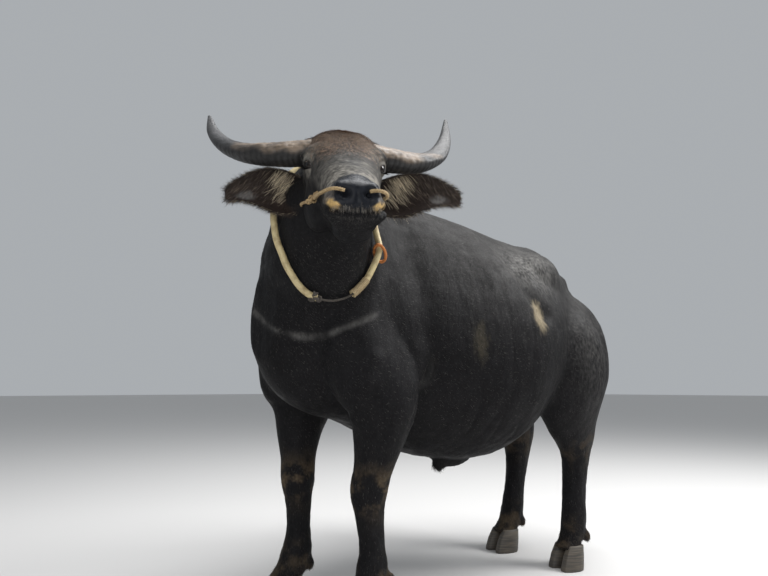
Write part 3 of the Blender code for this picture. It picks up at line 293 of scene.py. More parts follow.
# Pieces of body hair, and each one's tufts, length, width, rise, tone, steps and spread of tone
BODY_COATS, BODY_COAT = 3, (60000, 0.0105, 0.0010, 0.16, HAIR_GREY, 2, 1.1)

# Floor, backdrop and soft lights: name, place, what it is aimed at, size and power
FLOOR_TONE, BACKDROP = (0.62, 0.61, 0.60), (0.80, 0.84, 0.88, 1.0)
LIGHTS = (("top", (0.6, 0.6, 5.0), (0.0, 0.0, 0.8), 3.5, 250),
          ("left_rear", (2.6, 3.0, 4.0), (0.1, 0.1, 0.9), 2.0, 230),
          ("front", (2.6, -3.6, 2.2), (0.2, -0.4, 1.0), 3.0, 60))

# Camera of the photo, before centring, its heading from +Y towards -X and its rise in degrees
CAMERA_AT, CAMERA_HEADING, CAMERA_PITCH = (1.609, -1.171, 0.715), 49.0, 10.12
CAMERA_LENS = 26.25

FLESH_NODES = ("torso", "neck", "head", "ear_left", "ear_right", "tail", "foreleg_left",
               "foreleg_right", "hindleg_left", "hindleg_right")
SIDES = ((1, "left"), (-1, "right"))


def head_point(left, along, out):
    """World point of a place on the head: to its left, along the nose, out of the brow."""
    return POLL + (LEFT_AXIS * left + NOSE_AXIS * along + BROW_AXIS * out)


def bent(point):
    """A point of the straight body, carried round the bend of the spine."""
    x, y, z = point
    if y <= BEND_FROM:
        return Vector((x, y, z))
    turn = (y - BEND_FROM) / BEND_RADIUS
    return Vector((BEND_RADIUS * (1 - math.cos(turn)) + x * math.cos(turn),
                   BEND_FROM + BEND_RADIUS * math.sin(turn) - x * math.sin(turn), z))


def smooth_rows(rows, steps):
    """Rows between the given ones, on a smooth curve through them."""
    rows = [np.array(row, float) for row in rows]
    ends = [2 * rows[0] - rows[1]] + rows + [2 * rows[-1] - rows[-2]]
    found = []
    for i in range(1, len(ends) - 2):
        a, b, c, d = ends[i - 1:i + 3]
        for step in range(steps):
            t = step / steps
            found.append(0.5 * (2 * b + (c - a) * t + (2 * a - 5 * b + 4 * c - d) * t * t
                                + (3 * b - a - 3 * c + d) * t ** 3))
    return found + [rows[-1]]


def circle(sides):
    """Cosine and sine of even steps round a turn."""
    angles = [2 * math.pi * k / sides for k in range(sides)]
    return [(math.cos(angle), math.sin(angle)) for angle in angles]


def ring_of(centre, side, up, radius, sides, share=1.0):
    """Points of a circle in the plane of two directions."""
    return [centre + (side * c + up * s) * radius * share for c, s in circle(sides)]


def oval(wide, over, under, top_power, low_power, sides):
    """Points of a rounded section as (side, up) pairs."""
    found = []
    for c, s in circle(sides):
        power, reach = (top_power, over) if s >= 0 else (low_power, under)
        found.append((wide * math.copysign(abs(c) ** (2 / power), c),
                      reach * math.copysign(abs(s) ** (2 / power), s)))
    return found


def new_object(name, mesh):
    thing = bpy.data.objects.new(name, mesh)
    bpy.context.scene.collection.objects.link(thing)
    return thing


@contextlib.contextmanager
def opened(mesh):
    """The mesh open for editing, written back at the end."""
    bm = bmesh.new()
    bm.from_mesh(mesh)
    yield bm
    bm.to_mesh(mesh)
    bm.free()


def mesh_of(name, bm):
    mesh = bpy.data.meshes.new(name)
    bm.to_mesh(mesh)
    bm.free()
    return mesh


def mesh_from(name, points, faces):
    mesh = bpy.data.meshes.new(name)
    mesh.from_pydata([tuple(p) for p in points], [], faces)
    mesh.update()
    return mesh


def closed(name, mesh):
    """An object of a closed mesh whose faces all point out."""
    with opened(mesh) as bm:
        bmesh.ops.recalc_face_normals(bm, faces=bm.faces)
        if bm.calc_volume(signed=True) < 0:
            bmesh.ops.reverse_faces(bm, faces=bm.faces)
    return new_object(name, mesh)


def loft(name, rings):
    """A closed solid through rings of points, with flat ends."""
    sides = len(rings[0])
    points = [p for ring in rings for p in ring]
    faces = [tuple(reversed(range(sides)))]
    for i in range(len(rings) - 1):
        for k in range(sides):
            a, b = i * sides + k, i * sides + (k + 1) % sides
            faces.append((a, b, b + sides, a + sides))
    faces.append(tuple(range((len(rings) - 1) * sides, len(rings) * sides)))
    return closed(name, mesh_from(name, points, faces))


def limb(name, stations, sides=24, steps=4):
    """A tube of oval rings along centre points given with a half width and a half depth."""
    rows = smooth_rows([(*s[0], s[1], s[2]) for s in stations], steps)
    rings = []
    for i, row in enumerate(rows):
        before, after = rows[max(i - 1, 0)], rows[min(i + 1, len(rows) - 1)]
        along = Vector(after[:3] - before[:3]).normalized()
        side = Vector((1, 0, 0)) if abs(along.z) > 0.75 else along.cross(Vector((0, 0, 1)))
        side = (side - along * side.dot(along)).normalized()
        up = side.cross(along)
        centre = Vector(row[:3])
        rings.append([centre + side * a + up * b
                      for a, b in oval(row[3], row[4], row[4], 2, 2, sides)])
    return loft(name, rings)


def blob(name, centre, sizes, axes=None):
    """An ellipsoid at a place, with half sizes along its own axes."""
    bm = bmesh.new()
    bmesh.ops.create_icosphere(bm, subdivisions=4, radius=1.0)
    turn = Matrix(axes).transposed() if axes else Matrix.Identity(3)
    for v in bm.verts:
        v.co = turn @ Vector(a * b for a, b in zip(v.co, sizes)) + Vector(centre)
    return closed(name, mesh_of(name, bm))


def head_blob(name, at, sizes):
    return blob(name, head_point(*at), sizes, (LEFT_AXIS, NOSE_AXIS, BROW_AXIS))


def applied(thing):
    """The object with its modifiers worked into its mesh."""
    bpy.context.view_layer.update()
    graph = bpy.context.evaluated_depsgraph_get()
    mesh = bpy.data.meshes.new_from_object(thing.evaluated_get(graph))
    old = thing.data
    thing.modifiers.clear()
    thing.data = mesh
    bpy.data.meshes.remove(old)
    return thing


def joined(name, things):
    bm = bmesh.new()
    for thing in things:
        bm.from_mesh(thing.data)
        bpy.data.objects.remove(thing, do_unlink=True)
    return new_object(name, mesh_of(name, bm))


def fused(name, things, voxel, rounds):
    """The masses grown into one smooth body."""
    body = joined(name, things)
    remesh = body.modifiers.new("fuse", "REMESH")
    remesh.mode, remesh.voxel_size = "VOXEL", voxel
    soften = body.modifiers.new("soften", "SMOOTH")
    soften.factor, soften.iterations = 0.5, rounds
    return applied(body)


def trunk(name, stations, sides, place):
    """A body through squared ovals at its stations."""
    rings = []
    for y, top, low, wide, mid, top_power, low_power in smooth_rows(stations, 4):
        section = oval(wide, top - mid, mid - low, top_power, low_power, sides)
        rings.append([place(a, y, mid + b) for a, b in section])
    return loft(name, rings)


def leg_stations(rows, side, stagger):
    """Stations of one leg: mirrored, and with its foot moved fore or aft by the stagger."""
    found = []
    for x, y, z, wide, deep in rows:
        share = min(max((FOOT_FROM - z) / FOOT_FROM, 0.0), 1.0)
        moved = y + (stagger if side > 0 else -stagger) * share
        found.append((bent((side * x, moved, z)), wide, deep))
    return found


def foot_at(rows, side, stagger):
    return rows[-1][0] * side, rows[-1][1] + stagger * side


def flesh_masses():
    """The overlapping forms that the skin grows over."""
    masses = [trunk("torso_mass", TORSO, 40, lambda *at: bent(at)),
              trunk("head_mass", HEAD, 32, head_point), limb("neck_mass", NECK)]
    for side in (1, -1):
        masses += [limb(pair, leg_stations(rows, side, stagger)) for pair, rows, stagger in LEGS]
        masses += [head_blob(name, (side * x, y, z), sizes)
                   for name, (x, y, z), sizes in HEAD_FORMS]
    masses.append(head_blob("chin", *CHIN))
    for name, at, sizes in SHEATH:
        masses.append(blob(name, bent(at), sizes))
    for side in (1, -1):
        for _, rows, stagger in LEGS:
            x, y = foot_at(rows, side, stagger)
            for half in (1, -1):
                at = bent((x + half * DEWCLAW[0], y + DEWCLAW[1], DEWCLAW[2]))
                masses.append(blob("dewclaw", at, DEWCLAW_SIZE))
        masses.append(blob("hip", bent((side * HIP[0], *HIP[1:])), HIP_SIZE))
        masses.append(blob("pin", bent((side * PIN[0], *PIN[1:])), PIN_SIZE))
    return masses


def points_of(mesh):
    """The places and normals of a mesh's points, as arrays."""
    points = np.empty(len(mesh.vertices) * 3)
    normals = np.empty(len(mesh.vertices) * 3)
    mesh.vertices.foreach_get("co", points)
    mesh.vertices.foreach_get("normal", normals)
    return points.reshape(-1, 3), normals.reshape(-1, 3)


def set_points(mesh, points):
    mesh.vertices.foreach_set("co", points.ravel())
    mesh.update()


def norms(rows):
    return np.linalg.norm(rows, axis=1)


def bell(*shares):
    """A soft round falloff, from 1 where every share is 0."""
    return np.exp(sum(-share ** 2 for share in shares))


def off_line(points, line):
    """The way to each point from the nearest place of a line, and how long it is."""
    nearest = np.full((len(points), 3), 9.0)
    reach = np.full(len(points), 9.0)
    for a, b in zip(line, line[1:]):
        share = np.clip((points - a) @ (b - a) / ((b - a) @ (b - a)), 0, 1)
        gap = points - (a + share[:, None] * (b - a))
        away = norms(gap)
        closer = away < reach
        nearest[closer], reach[closer] = gap[closer], away[closer]
    return nearest, reach


def along_skin(ways, normals):
    """The ways without the part that points out of the skin."""
    return ways - normals * (ways * normals).sum(axis=1)[:, None]


def shape_body(flesh):
    """Folds, hollows and ridges worked into the fused flesh."""
    points, normals = points_of(flesh.data)
    push = np.zeros(len(points))
    for sides, places, reach, height in RELIEF:
        for side in sides:
            line = [np.array(bent((side * x, y, z))) for x, y, z in smooth_rows(places, 3)]
            push += height * bell(off_line(points, line)[1] / reach)
    set_points(flesh.data, points + normals * push[:, None])


def shape_head(flesh):
    """Lids, nostrils, lips and the line of the mouth, worked into the fused flesh."""
    finer(flesh, in_face, FACE_EDGE)
    points, normals = points_of(flesh.data)
    points += normals * face_relief(head_local(points))[:, None]
    for side in (1, -1):
        points = lidded(points, side)
    set_points(flesh.data, points)


def eye_centre(side):
    return head_point(side * EYE_AT[0], EYE_AT[1], EYE_AT[2])


def finer(thing, keep, longest):
    """Splits the edges of the kept region until none is longer than this."""
    with opened(thing.data) as bm:
        while True:
            edges = [edge for edge in bm.edges if edge.calc_length() > longest
                     and keep((edge.verts[0].co + edge.verts[1].co) / 2)]
            if not edges:
                break
            bmesh.ops.subdivide_edges(bm, edges=edges, cuts=1, use_grid_fill=True)
            bmesh.ops.triangulate(bm, faces=[f for f in bm.faces if len(f.verts) > 4])


def in_face(point):
    """Whether a place is near the eyes or the muzzle, where the head is made finest."""
    if (point - POLL).dot(NOSE_AXIS) > 0.40:
        return True
    return any((point - eye_centre(side)).length < 0.045 for side in (1, -1))


def face_relief(local):
    """How far each point of the head is pushed out, in metres."""
    left, along, out = np.abs(local[:, 0]), local[:, 1], local[:, 2]
    folded = np.stack([left, along, out], 1)
    push = -0.018 * patch(folded, NOSTRIL_AT, (0.0115, 0.030, 0.0085))
    push += 0.004 * patch(folded, (0.041, 0.488, -0.066), (0.008, 0.03, 0.018))
    mouth = MOUTH_HEIGHT - 0.05 * np.clip((0.47 - along) / 0.2, 0, 1)
    reach = 1 / (1 + np.exp(-(along - MOUTH_CORNER) / 0.008))
    push -= 0.008 * bell((out - mouth) / 0.0045) * reach
    push += 0.004 * bell((out - mouth - 0.014) / 0.009) * reach
    push += 0.004 * bell((out - mouth + 0.013) / 0.009) * reach
    push -= 0.0025 * patch(folded, (0.0, 0.505, -0.092), (0.004, 0.05, 0.022))
    return push


def lidded(points, side):
    """Skin round one eye drawn over the ball, with an almond opening left between lids."""
    reach, heading, beyond, _, facing = eye_view(points, side)
    near_ball = (reach < EYE_RADIUS * 2.2) & (facing > 0)
    inside = np.clip(-beyond / 0.10, 0, 1)
    lid = EYE_RADIUS + LID_THICK
    target = lid + (EYE_RADIUS * 0.72 - lid) * inside
    share = np.clip((facing - 0.30) / 0.35, 0, 1) * near_ball
    share = share * share * (3 - 2 * share)
    share = share * np.clip((EYE_RADIUS * 2.2 - reach) / (EYE_RADIUS * 0.6), 0, 1)
    return np.array(eye_centre(side)) + heading * (reach + (target - reach) * share)[:, None]


def strip_mesh(name, rows):
    """A tube of triangles through rings of points."""
    thing = loft(name, rows)
    with opened(thing.data) as bm:
        bmesh.ops.triangulate(bm, faces=bm.faces)
    return thing


def ear(side):
    """The ear as a cupped leaf of even thickness, its hollow to the front."""
    fronts, backs = ear_rows(side)
    return strip_mesh("ear", [front + back[::-1] for front, back in zip(fronts, backs)])


def hoofs(pair, side, foot_x, foot_y):
    """Both claws of one foot, flat below and straighter on the side of the cleft."""
    made = []
    for half, label in ((1, "outer"), (-1, "inner")):
        rings = []
        for share, grow, lean in CLAW_RISE:
            ring = []
            for c, s in circle(CLAW_SIDES):
                long = (CLAW_TOE if s < 0 else CLAW_BACK) * grow
                wide = CLAW_HALF if c > 0 else CLAW_HALF - CLEFT / 2
                x = wide * (abs(c) ** 0.8) * math.copysign(1, c) * grow
                y = long * s * (1 - 0.18 * abs(c)) + lean
                ring.append(bent((foot_x + side * half * (x + CLAW_HALF), foot_y + y,
                                  CLAW_HEIGHT * share)))
            rings.append(ring)
        made.append((f"hoof_{pair}_{'left' if side > 0 else 'right'}_{label}",
                     strip_mesh("claw", rings)))
    return made


def surface_of(thing):
    """A search tree over the skin of a piece."""
    bm = bmesh.new()
    bm.from_mesh(thing.data)
    tree = BVHTree.FromBMesh(bm)
    bm.free()
    return tree


def cleared(route, skin, reaches, closed):
    """The route eased and kept off the skin by each point's reach."""
    for _ in range(6):
        last = len(route) - 1
        eased = [(route[k - 1] + route[k] * 2 + route[(k + 1) % len(route)]) / 4
                 if closed or 0 < k < last else route[k] for k in range(len(route))]
        route = []
        for point, reach in zip(eased, reaches):
            spot, normal = skin.find_nearest(point)[:2]
            short = reach - (point - spot).dot(normal)
            route.append(point + normal * short if short > 0 else point)
    return route


def collar_route(skin):
    """Points round the neck in the collar's own plane, lying just clear of the skin."""
    centre, side = Vector(COLLAR_MIDDLE), Vector(COLLAR_SIDE)
    down = (Vector(COLLAR_LOWEST) - centre).normalized()
    side = (side - down * side.dot(down)).normalized()
    loop, reaches = [], []
    for k, (c, s) in enumerate(circle(COLLAR_STEPS)):
        ray = down * c + side * s
        hit = skin.ray_cast(centre, ray)[0]
        loop.append(centre + ray * ((hit - centre).length + COLLAR_RADIUS))
        lift = RING_LIFT * math.exp(-((k - RING_STEP) / RING_SPREAD) ** 2)
        reaches.append(COLLAR_RADIUS + COLLAR_CLEAR + lift)
    return cleared(loop, skin, reaches, True)


def rope_route(skin, side):
    """The nose rope from the nostril over the cheek to behind the ear."""
    route = [head_point(side * row[0], row[1], row[2]) for row in smooth_rows(NOSE_ROPE, 3)]
    return cleared(route, skin, [ROPE_RADIUS + ROPE_CLEAR] * len(route), False)


def collar_ring(loop, skin):
    """A ring that hangs round the hose, leaning along it."""
    place = loop[RING_STEP]
    spot = skin.find_nearest(place)[0]
    out = (place - spot).normalized()
    along = (loop[RING_STEP + 1] - loop[RING_STEP - 1]).normalized()
    out = (out - along * out.dot(along)).normalized()
    axis = (along + along.cross(out) * RING_LEAN).normalized()
    wide = axis.cross(out)
    route = [place + out * (RING_DEPTH * c) + wide * (RING_RADIUS * s + RING_SHIFT)
             for c, s in circle(24)]
    return closed_tube("collar_ring", route, RING_WIRE, axis)


def closed_tube(name, route, radius, axis, sides=7):
    """A round tube along a closed route that lies across an axis."""
    centre = sum(route, Vector()) / len(route)
    points, faces, count = [], [], len(route)
    for place in route:
        points += ring_of(place, (place - centre).normalized(), axis, radius, sides)
    for i in range(count):
        for k in range(sides):
            a, b = i * sides + k, i * sides + (k + 1) % sides
            c, d = (i + 1) % count * sides + k, (i + 1) % count * sides + (k + 1) % sides
            faces += [(a, b, d), (a, d, c)]
    return closed(name, mesh_from(name, points, faces))


def ear_rows(side):
    """Points of the hollow face and of the back of an ear, row by row from its root."""
    root, tip = Vector(EAR_ROOT), Vector(EAR_TIPS[side < 0])
    across, front = Vector(EAR_ACROSS).normalized(), Vector(EAR_FRONT).normalized()
    profile = np.array(smooth_rows(EAR_PROFILE, 6)).T
    fronts, backs = [], []
    for i in range(EAR_ROWS + 1):
        t = i / EAR_ROWS
        middle = root.lerp(tip, t) + across * (0.014 * math.sin(math.pi * t)
                                               - 0.008 * math.sin(2 * math.pi * t))
        wide = EAR_WIDTH * float(np.interp(t, *profile))
        turn = math.radians(85 * (1 - t) ** 0.8 + 14)
        wide = max(wide, EAR_TIP_WIDTH)
        radius = wide / 2 / math.sin(min(turn, math.pi / 2))
        thick = EAR_THICK * (1 - 0.45 * t)
        front_row, back_row = [], []
        for k in range(EAR_COLUMNS + 1):
            v = turn * (2 * k / EAR_COLUMNS - 1)
            out = across * math.sin(v) - front * (math.cos(v) - math.cos(turn))
            spot = middle + out * radius
            lean = (across * math.sin(v) - front * math.cos(v)).normalized()
            edge = math.sqrt(max(0.0, 1 - (2 * k / EAR_COLUMNS - 1) ** 6))
            front_row.append(spot - lean * thick * 0.1)
            back_row.append(spot + lean * thick * max(edge, 0.35))
        fronts.append([head_point(side * p.x, p.y, p.z) for p in front_row])
        backs.append([head_point(side * p.x, p.y, p.z) for p in back_row])
    return fronts, backs


def horn_swell(angle):
    """The section of a horn: a keel in front, flatter above and below it."""
    keel = 0.20 * max(math.cos(angle - 0.30), 0) ** 4
    over = 0.10 * max(math.cos(angle - 1.45), 0) ** 2
    under = 0.07 * max(math.cos(angle + 0.95), 0) ** 2
    return 1 + keel - over - under


def skin_mesh():
    """One skin for all the flesh: fused masses, folds, face, tail and ears."""
    rows = [(bent((TAIL_ASIDE, y, z)), radius, radius) for y, z, radius in TAIL]
    skin = fused("skin", flesh_masses() + [limb("tail", rows, 20, 4)], SKIN_VOXEL, SKIN_ROUNDS)
    for at, reach, rounds in SMOOTHED:
        eased(skin, bent(at), reach, rounds)
    shape_body(skin)
    shape_head(skin)
    weather(skin)
    for side in (1, -1):
        leaf = ear(side)
        add = skin.modifiers.new("add", "BOOLEAN")
        add.operation, add.object, add.solver = "UNION", leaf, "MANIFOLD"
        applied(skin)
        bpy.data.objects.remove(leaf, do_unlink=True)
        eased(skin, head_point(side * EAR_ROOT[0] * 1.5, EAR_ROOT[1], EAR_ROOT[2]), 0.075, 10)
    return skin


def eased(thing, centre, reach, rounds):
    """Smooths the mesh within reach of a place, most at its middle."""
    mesh = thing.data
    points, _ = points_of(mesh)
    ends = np.empty(len(mesh.edges) * 2, np.int32)
    mesh.edges.foreach_get("vertices", ends)
    ends = ends.reshape(-1, 2)
    keep = np.clip(1.6 * (1 - norms(points - np.array(centre)) / reach), 0, 1)
    chosen = ends[(keep[ends[:, 0]] > 0) | (keep[ends[:, 1]] > 0)]
    for _ in range(rounds):
        total, count = np.zeros_like(points), np.zeros(len(points))
        for a, b in ((0, 1), (1, 0)):
            np.add.at(total, chosen[:, a], points[chosen[:, b]])
            np.add.at(count, chosen[:, a], 1)
        near_by = count > 0
        mean = total[near_by] / count[near_by, None]
        points[near_by] += (mean - points[near_by]) * (0.6 * keep[near_by])[:, None]
    set_points(mesh, points)


def waves(points, scale, stretch=(1, 1, 1), shift=0.0):
    """Smooth noise at each point, between about -1 and 1."""
    spots = points * (np.array(stretch) * scale) + shift
    return np.array([noise.noise(spot) for spot in spots.tolist()])


def step_up(values, low, high):
    """A smooth rise from 0 at low to 1 at high."""
    share = np.clip((values - low) / (high - low), 0, 1)
    return share * share * (3 - 2 * share)


def step_down(values, low, high):
    """A smooth fall from 1 at low to 0 at high."""
    return step_up(-values, -high, -low)


def head_local(points):
    """Places as seen from the head: to its left, along the nose, out of the brow."""
    return (points - np.array(POLL)) @ np.array([LEFT_AXIS, NOSE_AXIS, BROW_AXIS]).T


def eye_axes(side):
    """The way one eye looks, and the directions along and up its lids."""
    gaze = (LEFT_AXIS * side * 0.80 + NOSE_AXIS * 0.52 + BROW_AXIS * 0.22).normalized()
    along = (NOSE_AXIS - gaze * gaze.dot(NOSE_AXIS)).normalized()
    return gaze, along, gaze.cross(along) * side


def eye_view(points, side):
    """From the middle of an eye: distance and heading of places, how far outside the lids
    and how far up they lie, and how squarely the eye looks at them."""
    away = points - np.array(eye_centre(side))
    reach = norms(away)
    heading = away / reach[:, None]
    facing, along, up = (heading @ np.array(axis) for axis in eye_axes(side))
    opening = EYE_OPEN * np.clip(1 - ((along - EYE_SHIFT) / EYE_WIDE) ** 2, 0, 1)
    return reach, heading, np.abs(up) - opening, up, facing


def on_head(local):
    """How far a place belongs to the head, from 0 to 1."""
    return step_up(local[:, 1], -0.05, 0.03) * step_up(local[:, 2], -0.30, -0.24)


def weather(skin):
    """Soft unevenness of a living hide: slack folds, wrinkles and small lumps."""
    points, normals = points_of(skin.data)
    x, y, z = points.T
    local = head_local(points)
    head = on_head(local)
    body = 1 - head
    push = 0.0035 * waves(points, 5.0) * body
    push += 0.0030 * waves(points, 9.0, (1, 1, 0.28), 7.0) * body
    flank = step_up(y, 0.20, 0.40) * step_down(y, 0.95, 1.15)
    flank *= step_up(np.abs(x), 0.20, 0.32) * step_down(z, 1.0, 1.22)
    drape = 1 - np.abs(waves(points, 5.5, (0.6, 1.9, 0.35), 4.0))
    drape = np.clip(drape, 0, 1) ** 5 * step_up(waves(points, 2.6, shift=8.0), -0.5, 0.5)
    push -= 0.0075 * drape * flank
    neck = step_down(y, -0.10, 0.0) * step_up(z, 0.88, 1.02) * body
    rolls = 1 - np.abs(waves(points, 9.0, (0.7, 0.7, 1.3), 17.0))
    push -= 0.0045 * np.clip(rolls, 0, 1) ** 5 * neck
    for line, reach, deep in ((3, 0.008, 0.006), (0, 0.006, 0.003)):
        for side in RELIEF[line][0]:
            crease = mirrored(RELIEF[line][1], side)
            push -= deep * bell(beside(points, normals, crease) / reach)
    push += 0.0010 * waves(points, 34.0, (1, 1, 0.5), 3.0)
    fine = 1 - np.abs(waves(points, 46.0, (1, 1, 0.45), 11.0))
    legs = step_down(z, 0.42, 0.50)
    push -= 0.0012 * np.clip(fine, 0, 1) ** 3 * (0.45 + legs) * body
    push += face_folds(local, head)
    set_points(skin.data, points + normals * push[:, None])


def face_folds(local, head):
    """Lid folds round each eye, ripples of the muzzle and small veins of the face."""
    left, along, out = np.abs(local[:, 0]), local[:, 1], local[:, 2]
    away = np.stack([left, along, out], 1) - np.array(EYE_AT)
    reach = norms(away * np.array((0.5, 1.0, 1.25)))
    over = step_up(away[:, 2], -0.004, 0.012)
    push = -0.0028 * bell((reach - 0.031) / 0.0042) * over
    push += 0.0022 * bell((reach - 0.040) / 0.006) * over
    push -= 0.0020 * bell((reach - 0.030) / 0.004) * (1 - over)
    crow = np.abs(waves(local, 60.0, (1, 0.45, 1), 2.0))
    push -= 0.0016 * np.clip(1 - crow * 3, 0, 1) * bell((reach - 0.052) / 0.020)
    muzzle = step_up(along, 0.34, 0.44)
    ripple = 1 - np.abs(waves(local, 42.0, (1.6, 0.6, 0.6), 9.0))
    push -= 0.0011 * np.clip(ripple, 0, 1) ** 4 * muzzle * step_up(left, 0.036, 0.046)
    chin = step_down(out, -0.14, -0.125) * step_up(along, 0.30, 0.36)
    push -= 0.0018 * np.clip(1 - np.abs(waves(local, 30.0, (0.5, 1, 1.4), 3.0)), 0, 1) ** 4 * chin
    jaw = step_up(along, 0.10, 0.16) * step_down(along, 0.34, 0.40) * step_up(left, 0.05, 0.08)
    push += 0.0016 * waves(local, 17.0, (1, 0.5, 1), 6.0) * jaw
    return push * head


def beside(points, normals, line):
    """Distance of each point from a line, measured along the skin, for places near it."""
    gaps, reach = off_line(points, smooth_rows(line, 4))
    return np.where(reach < 0.06, norms(along_skin(gaps, normals)), 9.0)


def mirrored(line, side):
    return [(side * x, y, z) for x, y, z in line]


def patch(points, centre, sizes):
    """A soft patch about a place, from 1 at its middle to 0."""
    away = (points - np.array(centre)) / np.array(sizes)
    return np.exp(-(away ** 2).sum(axis=1))


def crown(left, along, out):
    """The top of the head between the horns, narrower further down the face."""
    wide = 0.092 - 0.12 * np.clip(along, 0, 0.3)
    return np.exp(-(left / wide) ** 4) * step_up(out, -0.05, -0.01)


def markings(points, normals):
    """Colour and wetness of the hide at each point, the same for skin and coat, with painted top light on
    the back, painted sunlight on the face and painted highlights round the eyes.
    """
    _, y, z = points.T
    local = head_local(points)
    left, along, out = np.abs(local[:, 0]), local[:, 1], local[:, 2]
    head = on_head(local)
    blotch = waves(points, 9.0, shift=21.0)
    mottle = waves(points, 26.0, shift=2.0)
    speck = waves(points, 120.0, shift=5.0)
    streak = waves(points, 70.0, (1, 1, 0.3), 9.0)
    colour = np.tile(np.array(HIDE_DARK), (len(points), 1))

    def lay(tone, share):
        share = np.clip(share, 0, 1)[:, None]
        np.copyto(colour, colour * (1 - share) + np.array(tone) * share)

    # Dust together with painted top light: lighter higher up the body and where the hide faces up
    top = step_up(z, 0.72, 1.34) * (0.35 + 0.65 * np.clip(normals[:, 2] + 0.15, 0, 1))
    back = step_up(y, -0.15, 0.30)
    lay(HIDE_DUST_AND_TOPLIGHT, top * (0.15 + 0.85 * back) * (0.85 + 0.30 * blotch + 0.25 * streak))
    scuff = waves(points, 150.0, (1, 1, 0.4), 13.0)
    rump = patch(points, *RUMP_DUST)
    lay(HIDE_PALE, 0.40 * rump * step_up(scuff + 0.35 * speck + 0.3 * mottle, -0.50, 0.9))
    hip = patch(points, *HIP_DUST)
    lay(HIDE_PALE, 1.1 * hip * step_up(scuff + 0.4 * mottle, -0.70, 0.55))
    shape = patch(points, *FLANK_RUBBED)
    lay(HIDE_RUBBED, 0.85 * step_up(shape + 0.24 * scuff + 0.16 * streak + 0.12 * mottle, 0.30, 0.85))
    shape = patch(points, *FLANK_BROWN)
    lay(HIDE_BROWN, 0.60 * step_up(shape + 0.3 * scuff + 0.25 * streak, 0.25, 0.9))
    stripe = bell(beside(points, normals, RELIEF[0][1]) / 0.009)
    lay(HIDE_PALE, 0.50 * stripe * (0.8 + 0.8 * mottle))
    for side in RELIEF[3][0]:
        crease = bell(beside(points, normals, mirrored(RELIEF[3][1], side)) / 0.012)
        lay(HIDE_PALE, 0.10 * crease)
    fore = step_down(y, 0.15, 0.30)
    knee = bell((z - KNEE_HEIGHT) / 0.060) * fore
    lay(MUD, 0.85 * knee * step_up(blotch + 0.7 * mottle + 0.3 * speck, -0.25, 0.30))
    feet = step_down(z, 0.10, 0.24) * 0.6
    lay(MUD, feet * step_up(blotch + mottle + 0.4 * speck, -0.4, 0.5))
    hock = bell((z - HOCK_HEIGHT) / 0.06) * step_up(y, 0.9, 1.0)
    lay(MUD, 0.30 * hock * step_up(mottle + 0.4 * speck, -0.3, 0.4))
    # The bridge: its own mottled grey together with painted sunlight on the top of the face, strongest
    # towards the muzzle
    bridge = head * step_up(along, 0.03, 0.09) * step_up(out + 0.012 * mottle, -0.112, -0.072)
    bridge *= 0.22 + 0.78 * step_up(along + 0.03 * blotch, 0.22, 0.42)
    bridge *= step_up(left, -0.01, 0.05) * 0.15 + 0.85
    # Painted light on the brows, lifting the shade they lie in under the horn bases
    brow = bell((left - 0.076) / 0.024, (along - 0.160) / 0.034)
    lay(FACE_GREY_SUNLIT, 0.60 * head * brow * step_up(out, -0.06, -0.03) * (0.8 + 0.7 * mottle + 0.5 * speck))
    lay(FACE_GREY_SUNLIT, 0.90 * bridge * (0.75 + 0.6 * mottle + 0.90 * speck))
    # The upper cheeks lightened with the same dust and painted top light
    cheek = head * step_up(left, 0.055, 0.085) * (1 - bridge) * step_up(along, 0.02, 0.10)
    lay(HIDE_DUST_AND_TOPLIGHT, 0.35 * cheek * (0.6 + 0.9 * mottle) * step_up(out, -0.18, -0.10))
    poll = crown(left, along, out)
    poll *= step_up(along, -0.09, -0.03) * step_up(-along - 0.05 * mottle, -0.25, -0.13)
    lay(POLL_BROWN, 0.95 * poll * (0.8 + 0.7 * mottle))
    for side in (1, -1):
        away, _, beyond, up, _ = eye_view(points, side)
        # Painted highlight on the lids, brighter on the upper lid; the margin of the opening keeps the
        # hide's own dark
        lids = step_down(away, 0.029, 0.040) * step_up(beyond, 0.03, 0.16)
        lay(HIDE_DARK, 0.80 * step_down(away, 0.026, 0.029) * (1 - step_up(beyond, 0.03, 0.10)))
        lay(FACE_GREY_SUNLIT, lids * (0.40 + 0.30 * step_up(up, -0.1, 0.3)) * (0.9 + 0.6 * mottle))
        # Painted highlight along the fold over each eye
        fold = bell((away - 0.0310) / 0.0050)
        fold = fold * step_up(out, EYE_AT[2] - 0.002, EYE_AT[2] + 0.010)
        lay(FACE_GREY_SUNLIT, 0.90 * fold * (0.8 + 0.8 * mottle))
    wide = 0.050 - 0.028 * step_down(out, -0.108, -0.082)
    pad = step_up(along, 0.418, 0.438) * step_up(wide - left, -0.004, 0.004)
    pad *= step_up(out, -0.116, -0.106)
    lay(MUZZLE, pad)
    front = step_up(along, 0.425, 0.455)
    lip = bell((left - 0.054) / 0.013, (out + 0.083) / 0.012) * front
    lay(LIP_GREY, 0.8 * step_up(lip * (1 + 0.4 * mottle + 0.9 * speck), 0.10, 0.80) * (1 - pad))
    lip = bell((left - 0.049) / 0.014, (out + 0.097) / 0.010) * front
    lay(LIP_GOLD, 0.95 * step_up(lip * (1 + 0.4 * mottle + 1.1 * speck), 0.12, 0.80) * (1 - pad))
    ears = ear_chart(points, normals)
    hollow = ears["hollow"] * step_up(ears["out"], 0.14, 0.24)
    lay(EAR_SKIN, 0.75 * hollow)
    lay(EAR_PALE, 0.80 * hollow * step_up(patch_pale(ears) * (1 + 0.8 * mottle + 0.7 * scuff), 0.20, 0.9))
    colour *= (1 + 0.12 * blotch + 0.14 * mottle + 0.10 * speck)[:, None]
    return np.clip(colour, 0.004, 1.0), np.clip(pad, 0, 1)


